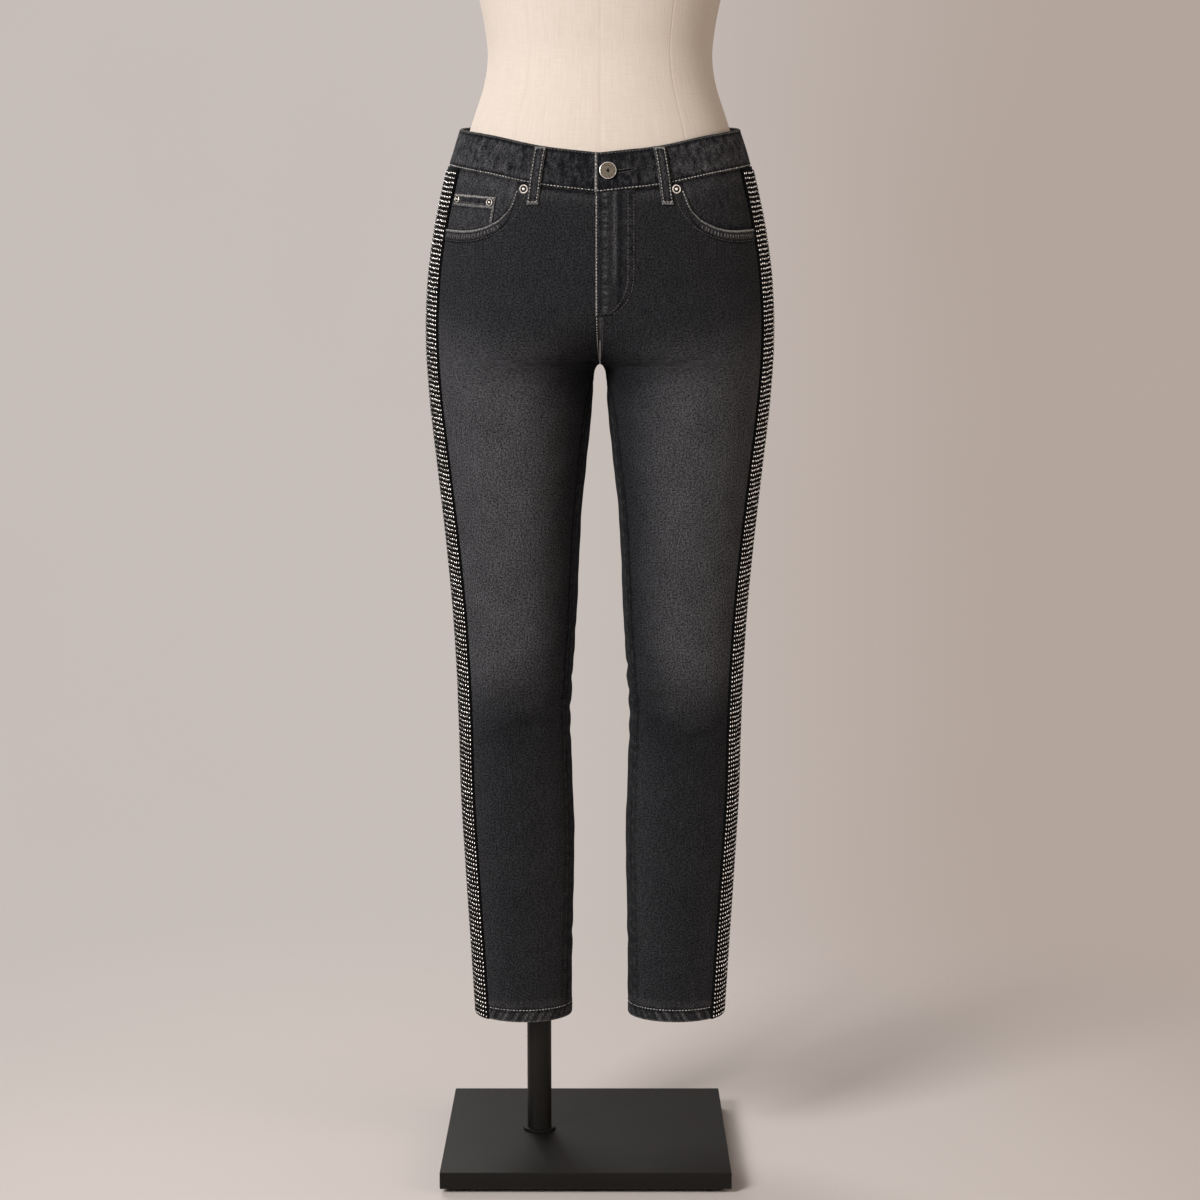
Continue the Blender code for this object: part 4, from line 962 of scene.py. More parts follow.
def makeCoinPocket():
    across = np.linspace(coinPocket["from"], coinPocket["to"], coinPocket["columns"])
    share = (across - across[0]) / (across[-1] - across[0])
    top = coinPocket["topInner"] + (coinPocket["topOuter"] - coinPocket["topInner"]) * share
    low = pocketCut(across) - 0.003
    z = top + (low - top) * np.linspace(0, 1, coinPocket["rows"])[:, None]
    along = frontAlong(across, z)
    fromTop = top - z
    lift = 0.0002 + coinPocket["lift"] * (0.6 + 0.5 * ease((0.0105 - fromTop) / 0.0012))
    lift = lift + 0.0002 * bump(fromTop, 0.005, 0.003) * ripple(across * 0.145, 0.0085, 0.7)
    lift = lift - 0.0016 * ease((pocketCut(across) + 0.0015 - z) / 0.0015)
    side = -1
    turn = turnAt(z, along)
    outer = mirror(skinTurn(z, turn, lift)[0], side)
    inner = mirror(skinTurn(z, turn, lift - 0.0009)[0], side)
    wear = (0.75 * bump(fromTop, 0.0005, 0.0011) + 0.55 * bump(fromTop, 0.0098, 0.0010)
            + 0.45 * bump(share, 0.0, 0.018))
    # dark bands between the hem's stitch rows, below the hem's edge and at the outer end: painted shade
    fade = (0.22 - 0.12 * bump(fromTop, 0.0050, 0.0030) - 0.16 * bump(fromTop, 0.0120, 0.0010)
            - 0.10 * bump(share, 0.985, 0.02))
    return denimPiece("coinPocket", "coin_pocket", outer, inner, along, z,
                      {"fade": fade, "wear": np.clip(wear, 0, 1), "blot": 0.30 + 0 * z})


fly = {
    "edge": -0.0045, "wide": 0.034, "footWide": 0.0045, "thick": 0.0012,
    "top": 0.995, "straightTo": 0.915, "foot": 0.8755,
    "rows": 84, "columns": 38,
    "ridge": 0.0147,                 # from the middle, the worn line over what is folded below
}


def flyReach(z):
    fall = np.clip((fly["straightTo"] - z) / (fly["straightTo"] - fly["foot"]), 0, 1)
    return fly["footWide"] + (fly["wide"] - fly["footWide"]) * np.sqrt(1 - fall * fall)


def makeFly():
    rows, columns = fly["rows"], fly["columns"]
    levelsDown = np.linspace(0, 1, rows)
    z = np.empty((rows, columns))
    reach = -float(frontRun(waistSeamLine[0][1]))
    share = np.concatenate([np.linspace(0, 0.05, 4, endpoint=False), np.linspace(0.05, 1, columns - 4)])
    spots = np.empty((rows, columns))
    for k in range(rows):
        level = fly["top"] + (fly["foot"] - fly["top"]) * levelsDown[k]
        wide = float(flyReach(level))
        spots[k] = fly["edge"] + (wide - fly["edge"]) * share
        z[k] = level
    topHeights = waistSeam(np.abs(spots[0]) / reach) - cut["seam"]
    lift = (topHeights - z[0])[None, :] * np.clip(1 - levelsDown * 6, 0, 1)[:, None]
    z = z + lift
    edgeRise = ease((spots - fly["edge"]) / 0.0008)
    far = ease((flyReach(z) - spots) / 0.005)
    ridge = 0.0006 * bump(spots, fly["ridge"], 0.0022) * ease((z - 0.900) / 0.02)
    rungs = bump(spots, 0.0052, 0.0024) * np.clip(0.35 + ripple(z, 0.0080, 1.4), 0, 1)
    outerRungs = bump(spots, 0.0285, 0.0030) * ripple(z, 0.0072, 5.2)
    puff = (0.0007 * rungs + 0.0003 * outerRungs
            - 0.0005 * bump(spots, 0.0188, 0.0016) * ease((z - 0.900) / 0.02))
    out = 0.0004 + fly["thick"] * (0.15 + 0.85 * far) * (0.5 + 0.5 * edgeRise) + (ridge + puff) * far
    outer = crossSkin(z, spots, out)
    inner = crossSkin(z, spots, np.full(z.shape, 0.00025))
    wear = 0.50 * bump(spots, fly["edge"], 0.0010)
    # lighter on the puckers and the worn ridge; darker beside the ridge and next to the fly's edge: painted
    # shade
    fade = 0.095 + 0.38 * rungs + 0.26 * bump(spots, fly["ridge"], 0.0022) * ease((z - 0.895) / 0.03)
    fade = (fade + 0.16 * outerRungs * ease((z - 0.905) / 0.03) - 0.12 * bump(spots, 0.0192, 0.0024)
            - 0.06 * bump(spots, 0.0005, 0.0016))
    return denimPiece("flyFlap", "fly_flap", outer, inner, spots, z,
                      {"fade": np.clip(fade, 0.004, 1), "wear": wear, "blot": 0.14 + 0 * z})


# reach from the middle, height
backPocketShape = {
    "innerTop": (0.026, 0.943), "outerTop": (0.148, 0.956), "outerLow": (0.142, 0.850),
    "point": (0.085, 0.816), "innerLow": (0.032, 0.838),
    "wide": 0.118, "tall": 0.115, "lift": 0.0005, "thick": 0.0012,
    "split": 0.49,                   # share of the width where the point is
}


def pocketPlace(s, t):
    # s runs from the centre to the side, t from the top to the foot
    shape = {key: np.array(value) for key, value in backPocketShape.items() if isinstance(value, tuple)}
    s, t = np.broadcast_arrays(np.asarray(s, float), np.asarray(t, float))
    top = shape["innerTop"] + (shape["outerTop"] - shape["innerTop"]) * s[..., None]
    split = backPocketShape["split"]
    beyond = np.clip((s - split) / (1 - split), 0, 1)[..., None]
    lowIn = shape["innerLow"] + (shape["point"] - shape["innerLow"]) * np.clip(s / split, 0, 1)[..., None]
    lowOut = shape["point"] + (shape["outerLow"] - shape["point"]) * beyond
    low = np.where((s < split)[..., None], lowIn, lowOut)
    place = top + (low - top) * t[..., None]
    return place[..., 0], place[..., 1]


def backTurn(x, z):
    middle, half, _, _, power = ovalAt(z)
    return math.pi - np.arcsin(np.clip(signedPower((x - middle) / half, 1 / power), -1, 1))


def backOut(z, turn, side):
    # how far the panel itself stands out there, so that what lies on it follows its creases
    z, turn = np.broadcast_arrays(z, turn)
    flatZ = z.ravel()
    steps = np.linspace(0, 1, turnTable.shape[1])
    share = np.array([np.interp(t, turnTable[min(np.searchsorted(levels, h), len(levels) - 1)], steps)
                      for h, t in zip(flatZ, turn.ravel())])
    along = frontRun(flatZ) + (backRun(flatZ) - frontRun(flatZ)) * share
    return backRelief(flatZ, backRun(flatZ) - along, side).reshape(z.shape)


def makeBackPocket(side, tag):
    s = np.concatenate([[0, 0.008], np.linspace(0.03, 0.97, 44), [0.992, 1]])
    t = np.concatenate([[0, 0.010], np.linspace(0.03, 0.97, 44), [0.990, 1]])[:, None]
    x, z = pocketPlace(s, t)
    turn = backTurn(x, z)
    base = backOut(z, turn, side)
    edge = np.minimum(np.minimum(s, 1 - s) * backPocketShape["wide"],
                      np.minimum(t, 1 - t) * backPocketShape["tall"])
    drop = t * backPocketShape["tall"]
    roundOff = ease(edge / 0.0016)
    hemmed = 0.0004 * (1 - ease((drop - 0.011) / 0.002))
    gape = 0.0008 * bump(drop, 0.0, 0.010) * np.sin(np.pi * s)
    puff = 0.00025 * bump(edge, 0.0045, 0.0030) * ripple(s * 0.12 + t * 0.12, 0.010, 3.0 + side)
    out = (base + backPocketShape["lift"] + backPocketShape["thick"] * (0.45 + 0.55 * roundOff)
           + hemmed + gape + puff)
    outer = mirror(skinTurn(z, turn, out)[0], side)
    inner = mirror(skinTurn(z, turn, base + 0.0003 + gape * 0.6)[0], side)
    wear = 0.55 * bump(edge, 0.0004, 0.0014) + 0 * s
    fade = 0.17 + 0.12 * (1 - ease((edge - 0.0075) / 0.003)) + 0.10 * (1 - ease((drop - 0.011) / 0.003))
    blot = 0.10 + 0.22 * (1 - ease((edge - 0.0075) / 0.003)) + 0 * s
    return denimPiece("backPocket" + tag, "back_pocket_" + tag.lower(), outer, inner, x, z,
                      {"fade": fade, "wear": wear, "blot": blot})


hemBand = {"thick": 0.0024, "rows": 12, "columns": 150}


def makeHemBand(side, tag):
    z0, z1 = cut["hem"], cut["hem"] + cut["hemDepth"]
    share = np.concatenate([[0, 0.03], np.linspace(0.08, 0.97, hemBand["rows"] - 3), [1.0]])[:, None]
    z = z0 + (z1 - z0) * share
    ring = np.linspace(0, 1, hemBand["columns"])
    along = frontRun(z) + cut["seam"] / 2 + (backRun(z) - frontRun(z) - cut["seam"]) * ring
    turn = turnAt(z, along)
    twist = ripple(along + (z - z0) * 0.7, 0.0088, 2.0 * side)
    roping = 0.00030 * twist * np.sin(np.pi * np.clip(share, 0, 1))
    stitchDip = -0.0003 * bump(z, z1 - 0.0016, 0.0012)
    roundLow = -0.0006 * (1 - ease(share / 0.10))
    out = 0.0004 + roping + stitchDip + roundLow
    outer = mirror(skinTurn(z, turn, out)[0], side)
    inner = mirror(skinTurn(z, turn, out - hemBand["thick"] - 1.2 * roundLow)[0], side)
    u = np.where(along < 0, along - frontRun(z), along)
    ticks = np.clip(1.9 * twist - 0.35, 0, 1) * bump(share, 0.42, 0.34)
    wear = 0.55 * (1 - ease(share / 0.12)) * (0.7 + 0.5 * twist) + 0.22 * ticks
    # a darker band just below the hem's stitching: painted shade in the seam's dip
    fade = (0.11 + 0.10 * twist + 0.12 * (1 - ease(share / 0.2)) + 0.10 * ticks
            - 0.16 * bump(share, 0.76, 0.07))
    return denimPiece("hemBand" + tag, "hem_band_" + tag.lower(), outer, inner, u, z,
                      {"fade": np.clip(fade + 0 * z, 0.004, 1), "wear": np.clip(wear + 0 * z, 0, 1),
                       "blot": 0.16 + 0 * z})


# waistband and belt loops

band = {
    "out": 0.0011, "edgeOut": 0.0004,
    "lapStart": -0.0053, "lapEnd": 0.036, "lapFade": 0.044, "lapOut": 0.0016,
    "underEnd": 0.030, "rows": 20, "columns": 440,
    "perWay": 0.21,                  # cloth in one unit of the way round
}


def bandStations():
    # a signed way on each side: the wearer's left from the lapped end to the back, then the right
    reach = -float(frontRun(waistSeamLine[0][1]))
    left = np.linspace(band["lapStart"] / reach, 2.0, band["columns"] // 2, endpoint=False)
    right = np.linspace(2.0, -band["underEnd"] / reach, band["columns"] // 2 + 8)
    side = np.concatenate([np.ones(len(left)), -np.ones(len(right))])
    return side, np.concatenate([left, right]), reach


def makeWaistband():
    side, way, reach = bandStations()
    distance = side * way * reach
    first = np.arange(len(side)) < (side > 0).sum()
    lapped = np.where(first, 1 - ease((distance - band["lapEnd"]) / (band["lapFade"] - band["lapEnd"])), 0.0)
    share = np.concatenate([[0, 0.02, 0.05], np.linspace(0.09, 0.91, band["rows"] - 6), [0.95, 0.98, 1.0]])
    share = share[:, None]
    low, high = waistSeam(np.abs(way)), bandTop(np.abs(way))
    z = low + (high - low) * share
    tall = high - low
    run = np.concatenate([[0], np.cumsum(np.abs(np.diff(way)) * band["perWay"])])
    edge = np.minimum(share, 1 - share) * tall
    roundOff = ease(edge / 0.0022)
    aboveSeam = bump(share * tall, 0.0070, 0.0052)
    puckers = ripple(run + share * 0.004, 0.0072, 2.2)
    puff = (0.00042 * aboveSeam + 0.00020 * bump((1 - share) * tall, 0.005, 0.003)) * puckers
    puff = puff + 0.00026 * np.sin(run * 190 + 3 * share) * np.sin(np.pi * share)
    across = np.clip((distance - band["lapStart"]) / 0.0015, 0, 1)
    endRound = np.where(first, 0.55 + 0.45 * ease(across), 1.0)
    out = (band["edgeOut"] + (band["out"] - band["edgeOut"]) * roundOff) * endRound
    out = out + puff + lapped * band["lapOut"]
    tucked = np.where(~first & (way < 0.012), 1.0, 0.0)
    out = out - tucked * 0.0003
    under = -cut["cloth"] + lapped * (cut["cloth"] + band["out"] + 0.0006)
    sideways = np.where(way < 0, -side, side)

    def place(outward):
        points = skin(z, wayToAlong(z, np.abs(way)), outward)
        points[..., 0] = np.where(np.abs(way) < 2e-3, way * reach * side, points[..., 0] * sideways)
        points[..., 0] = np.where(np.abs(np.abs(way) - 2.0) < 1e-6, 0.0, points[..., 0])
        return points

    outer = place(out)
    inner = place(np.broadcast_to(under, z.shape))
    wear = (0.30 * bump((1 - share) * tall, 0.0, 0.0006)
            + 0.85 * np.where(first, bump(distance, band["lapStart"], 0.0016), 0))
    # dark lines just inside both stitched edges of the band: painted shade beside the stitching
    stitchShadeLines = bump(share * tall, 0.0032, 0.0012) + bump((1 - share) * tall, 0.0030, 0.0012)
    sides = ease((np.abs(way) - 0.30) / 0.35)
    fade = 0.125 + 0.085 * sides + 0.12 * aboveSeam * (0.4 + puckers) * (0.4 + 0.6 * sides)
    fade = (fade - 0.24 * stitchShadeLines - 0.085 * (1 - ease((np.abs(way) - 0.10) / 0.2))
            + 0.04 * np.where(first, ease((way - 0.33) / 0.1), 0))
    # a dark line just inside the lapped end's worn edge: painted shadow
    fade = fade - 0.14 * np.where(first, bump(distance, band["lapStart"] + 0.0036, 0.0012), 0)
    return denimPiece("waistband", "waistband", outer, inner, run, z,
                      {"fade": np.clip(fade, 0.004, 1), "wear": np.clip(wear, 0, 1),
                       "blot": (0.52 + 0.24 * sides) * (1 - 0.8 * stitchShadeLines)})


loops = {
    "width": 0.0118, "thick": 0.0017, "rows": 46, "columns": 13,
    "places": (  # side, way at the top, way at the foot
        (1, 0.334, 0.352), (-1, 0.334, 0.352), (1, 1.43, 1.43), (-1, 1.43, 1.43), (1, 2.0, 2.0)),
    "nodes": ("belt_loop_front_left", "belt_loop_front_right", "belt_loop_back_left", "belt_loop_back_right",
              "belt_loop_back_middle"),
    # share of the band's height, how far down from there, how far out
    "path": ((1.0, 0.0010, 0.0014), (1.0, 0.0030, 0.0021), (1.0, 0.0060, 0.0023), (0.75, 0.0, 0.0030),
             (0.5, 0.0, 0.0032), (0.25, 0.0, 0.0031), (0.0, -0.0040, 0.0027), (0.0, 0.0, 0.0020),
             (0.0, 0.0035, 0.0013), (0.0, 0.0080, 0.0007), (0.0, 0.0195, 0.0006)),
}


def loopPoint(loop, t, edge, extra):
    # t runs 0 at the top to 1 at the foot, edge across the loop
    side, wayTop, wayFoot = loop
    low = float(waistSeam(wayFoot))
    tall = float(bandTop(wayTop)) - low
    heights = np.array([low + tall * share - drop for share, drop, _ in loops["path"]])
    outs = np.array([out for _, _, out in loops["path"]])
    steps = np.concatenate([[0], np.cumsum(np.abs(np.diff(heights)))])
    steps = steps / steps[-1]
    z = np.interp(t, steps, heights)
    out = np.interp(t, steps, outs)
    way = wayFoot + (wayTop - wayFoot) * (z - heights[-1]) / (heights[0] - heights[-1])
    z, edge, out, way = np.broadcast_arrays(z, edge, out + extra, way)
    if wayTop == 2.0:
        points = skin(z, backRun(z) - np.maximum(np.abs(edge), 1e-5), out)
        points[..., 0] = np.where(np.abs(edge) < 2e-4, edge, points[..., 0] * np.sign(edge))
        return points
    points = skin(z, wayToAlong(z, way) + edge, out)
    return mirror(points, side)


def makeBeltLoops():
    parts, uvs, washAndShades, wears = [], [], [], []
    rows, columns = loops["rows"], loops["columns"]
    t = np.linspace(0, 1, rows)[:, None]
    across = np.concatenate([[-1, -0.96], np.linspace(-0.88, 0.88, columns - 4), [0.96, 1]])
    edge = across * loops["width"] / 2
    roundOff = ease((1 - np.abs(across)) / 0.12)
    ridge = 0.00018 * bump(np.abs(across), 0.72, 0.14) - 0.00012 * bump(across, 0.0, 0.10)
    for number, loop in enumerate(loops["places"]):
        pucker = 0.00012 * ripple(t * 0.05, 0.0075, number * 1.7) * bump(np.abs(across), 0.72, 0.3)
        outer = loopPoint(loop, t, edge, loops["thick"] * (0.6 + 0.4 * roundOff) + ridge + pucker)
        inner = loopPoint(loop, t, edge, 0.0002 * (1 - roundOff) + 0 * t)
        both = np.concatenate([outer.reshape(-1, 3), inner.reshape(-1, 3)])
        parts.append((both, shellFaces(rows, columns)))
        uv = np.stack([np.broadcast_to(edge + number * 0.3, (rows, columns)).ravel(),
                       np.broadcast_to(t * 0.05, (rows, columns)).ravel()], -1)
        uvs += [uv, uv]
        wear = (0.25 * bump(np.abs(across), 1.0, 0.06) + 0.45 * bump(t, 0.015, 0.02)
                + 0.50 * bump(t, 0.985, 0.018))
        # darker bands beside the bar tacks and inside the long stitch rows: painted shade
        fade = (0.17 + 0.09 * bump(across, 0.0, 0.30) - 0.15 * bump(t, 0.90, 0.025)
                - 0.15 * bump(t, 0.07, 0.02))
        fade = fade - 0.14 * bump(np.abs(across), 0.50, 0.10)
        wears += [np.broadcast_to(wear, (rows, columns)).ravel()] * 2
        washAndShades += [np.broadcast_to(fade, (rows, columns)).ravel()] * 2
    vertices = np.concatenate([part[0] for part in parts])
    shift = len(parts[0][0])
    faces = np.concatenate([part[1] + k * shift for k, part in enumerate(parts)])
    piece = newPiece("beltLoops", vertices, faces, denim, np.concatenate(uvs),
                     {"fade": np.clip(np.concatenate(washAndShades), 0.004, 1),
                      "wear": np.clip(np.concatenate(wears), 0, 1), "blot": np.full(len(vertices), 0.16)})
    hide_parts(*loops["nodes"])
    return piece


# beaded side strips

strip = {
    "lift": 0.0007, "thick": 0.0011, "tapeRows": 220, "tapeColumns": 21,
    "columns": 11, "across": 0.0042, "down": 0.0047,
    "first": 0.0060,                 # from the tape's top edge to the first row
    "last": 0.0030,
    # share of the radius, height, for the dark seat and then the bright face
    "seat": ((1.0, 0.0), (0.97, 0.00095), (0.72, 0.00130)),
    "face": ((0.54, 0.00080), (0.46, 0.00124), (0.29, 0.00150), (0.10, 0.00157)),
    "radius": 0.00205, "sides": 6, "taller": 1.16,
    # unevenness from bead to bead: down, across, lean and size
    "jitterDown": 0.00014, "jitterAcross": 0.00012, "tilt": 0.07, "spread": 0.035,
}


def makeTapePiece(side, tag):
    across = np.linspace(-1, 1, strip["tapeColumns"])
    along = across * cut["stripHalf"]
    top = waistSeam(1 + along / backRun(cut["seamMiddle"])) - cut["seam"]
    share = np.linspace(0, 1, strip["tapeRows"])[:, None]
    z = top + (cut["hem"] - top) * share
    roundOff = ease((1 - np.abs(across)) / 0.05)
    out = (strip["lift"] + strip["thick"] * (0.5 + 0.5 * roundOff)
           + 0.0002 * ripple(z, 0.02, side) * bump(np.abs(across), 1, 0.2))
    outer = mirror(skin(z, along, out), side)
    inner = mirror(skin(z, along, np.full(z.shape, strip["lift"] - 0.0003)), side)
    piece = clothShell("sideTape" + tag, outer, inner, along, z, tape)
    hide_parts("side_strip_" + tag.lower())
    return piece, outer


def beadPlaces(z, along, side):
    # on each spot: the point, and unit steps along the strip, down it and out of it
    point = skin(z, along, strip["lift"] + strip["thick"] - 0.0001)
    normal = skinNormal(z, along)
    ahead = skin(z, along + 0.0005, 0.0) - skin(z, along - 0.0005, 0.0)
    ahead /= np.linalg.norm(ahead, axis=-1, keepdims=True)
    down = np.cross(normal, ahead)
    return tuple(mirror(v, side) for v in (point, ahead, down, normal))


def makeBeads(side, tag):
    columns = (np.arange(strip["columns"]) - (strip["columns"] - 1) / 2) * strip["across"]
    rows = int((waistSeamLine[3][1] - cut["hem"] - strip["first"] - strip["last"]) / strip["down"])
    top = waistSeam(1 + columns / backRun(cut["seamMiddle"]))[None, :] - strip["first"]
    rowShare = np.linspace(0, 1, rows + 1)[:, None]
    z = top + (cut["hem"] + strip["last"] - top) * rowShare
    wobble = randomSource.normal(0, strip["jitterDown"], z.shape)
    z = z + wobble + 0.0002 * np.sin(rowShare * 61 + columns * 300)
    along = np.broadcast_to(columns, z.shape) + randomSource.normal(0, strip["jitterAcross"], z.shape)
    point, ahead, down, normal = beadPlaces(z.ravel(), along.ravel(), side)
    count = len(point)
    tiltA = randomSource.normal(0, strip["tilt"], count)[:, None]
    tiltB = randomSource.normal(0, strip["tilt"], count)[:, None]
    out = normal + tiltA * ahead + tiltB * down
    out /= np.linalg.norm(out, axis=-1, keepdims=True)
    wide = np.cross(down, out)
    wide /= np.linalg.norm(wide, axis=-1, keepdims=True)
    tall = np.cross(out, wide)
    size = strip["radius"] * (1 + randomSource.normal(0, strip["spread"], count))[:, None, None]
    turns = 2 * np.pi * np.arange(strip["sides"]) / strip["sides"]
    rings = strip["seat"] + strip["face"]
    shares = np.array([ring[0] for ring in rings])
    heights = np.array([ring[1] for ring in rings])
    cosines, sines = np.cos(turns), np.sin(turns) * strip["taller"]
    flatX = (shares[:, None] * cosines)[None] * size
    flatY = (shares[:, None] * sines)[None] * size
    vertices = (point[:, None, None, :] + flatX[..., None] * wide[:, None, None, :]
                + flatY[..., None] * tall[:, None, None, :]
                + heights[None, :, None, None] * out[:, None, None, :])
    perBead = len(rings) * strip["sides"]
    ring = np.arange(strip["sides"])
    quads = tubeQuads(strip["sides"], len(rings) - 1)
    faces = (np.arange(count)[:, None, None] * perBead + quads[None]).reshape(-1, 4).tolist()
    caps = np.arange(count)[:, None] * perBead
    topCaps = (caps + (len(rings) - 1) * strip["sides"] + ring[None]).tolist()
    lowCaps = (caps + ring[::-1][None]).tolist()
    mesh = bpy.data.meshes.new("beads" + tag)
    mesh.from_pydata(vertices.reshape(-1, 3).tolist(), [], faces + topCaps + lowCaps)
    mesh.materials.append(beadFace)
    mesh.materials.append(beadSeat)
    seatBands = len(strip["seat"])
    slots = np.tile(np.repeat([1] * seatBands + [0] * (len(rings) - 1 - seatBands), strip["sides"]), count)
    slots = np.concatenate([slots, np.zeros(count, int), np.ones(count, int)])
    mesh.polygons.foreach_set("material_index", slots)
    smoothMesh(mesh, 48)
    piece = setPiece("beads" + tag, mesh)
    print("  beads", tag, count, "in", rows + 1, "rows")
    return piece


# stitching

stitch = {
    "pitch": 0.0031, "share": 0.72, "radius": 0.00038, "sides": 4,
    # along the stitch, out of the cloth and thickness, the last two in radii
    "profile": ((-0.5, -1.0, 0.45), (-0.38, 0.1, 0.95), (0.0, 0.5, 1.0), (0.38, 0.1, 0.95),
                (0.5, -1.0, 0.45)),
    "bandGauge": (0.0034, 0.00044),  # pitch and radius of the thicker thread on the waistband
    "endGauge": (0.0036, 0.00046),
    "hemGauge": (0.0034, 0.00036),
    "ribGauge": (0.0072, 0.0009),    # cloth gathered under the pocket's edge
    "holeGauge": (0.0013, 0.00050),
}


def stitchRow(points, normals, pitch=None, radius=None):
    # capsules laid end to end along a line of points, their ends dipping into the cloth
    pitch = pitch or stitch["pitch"]
    radius = radius or stitch["radius"]
    steps = np.linalg.norm(np.diff(points, axis=0), axis=1)
    run = np.concatenate([[0], np.cumsum(steps)])
    count = max(int(run[-1] / pitch), 1)
    centres = (np.arange(count) + 0.5) * run[-1] / count
    length = run[-1] / count * stitch["share"]
    turns = 2 * np.pi * np.arange(stitch["sides"]) / stitch["sides"]

    def sample(at, table):
        return np.stack([np.interp(at, run, table[:, k]) for k in range(3)], -1)

    rings = []
    for share, lift, size in stitch["profile"]:
        at = centres + share * length
        point = sample(at, points)
        normal = sample(centres, normals)
        normal /= np.linalg.norm(normal, axis=-1, keepdims=True)
        ahead = sample(centres + 0.0004, points) - sample(centres - 0.0004, points)
        ahead /= np.linalg.norm(ahead, axis=-1, keepdims=True) + 1e-12
        across = np.cross(ahead, normal)
        middle = point + normal * lift * radius
        ring = (middle[:, None] + size * radius * (np.cos(turns)[None, :, None] * across[:, None]
                                                   + 0.8 * np.sin(turns)[None, :, None] * normal[:, None]))
        rings.append(ring)
    vertices = np.stack(rings, 1)
    return vertices.reshape(count, -1, 3)


def stitchPiece(name, rows, material):
    # rows: a list of (points, normals), some with a pitch and a radius of their own
    vertices, faces, shift = [], [], 0
    sides = stitch["sides"]
    quads = tubeQuads(sides, len(stitch["profile"]) - 1)
    for points, normals, *gauge in rows:
        made = stitchRow(np.asarray(points), np.asarray(normals), *gauge)
        perStitch = made.shape[1]
        count = len(made)
        vertices.append(made.reshape(-1, 3))
        base = np.arange(count)[:, None, None] * perStitch + shift
        faces += (base + quads[None]).reshape(-1, 4).tolist()
        ends = np.arange(count)[:, None] * perStitch + shift
        faces += (ends + np.arange(sides)[None]).tolist()
        faces += (ends + perStitch - sides + np.arange(sides)[::-1][None]).tolist()
        shift += count * perStitch
    mesh = bpy.data.meshes.new(name)
    mesh.from_pydata(np.concatenate(vertices).tolist(), [], faces)
    mesh.materials.append(material)
    smoothMesh(mesh)
    piece = setPiece(name, mesh)


def lineOn(z, along, out, side):
    return mirror(skin(z, along, out), side), mirror(skinNormal(z, along), side)


def frontLine(z, u, side, extra=0.0):
    # on a front panel, u from its inner edge, following the creases
    along = frontRun(z) + u
    return lineOn(z, along, frontRelief(z, u, side) + extra, side)


def backLine(z, u, side, extra=0.0):
    along = backRun(z) - u
    return lineOn(z, along, backRelief(z, u, side) + extra, side)


def crossLine(z, distance, out):
    points = crossSkin(z, distance, out)
    normals = crossSkin(z, distance, out + 0.001) - points
    return points, normals / np.linalg.norm(normals, axis=-1, keepdims=True)


def bandLine(way, side, share, extra):
    low, high = waistSeam(np.abs(way)), bandTop(np.abs(way))
    z = low + (high - low) * share
    return lineOn(z, wayToAlong(z, way), np.full(np.shape(z), band["out"] + extra), side)


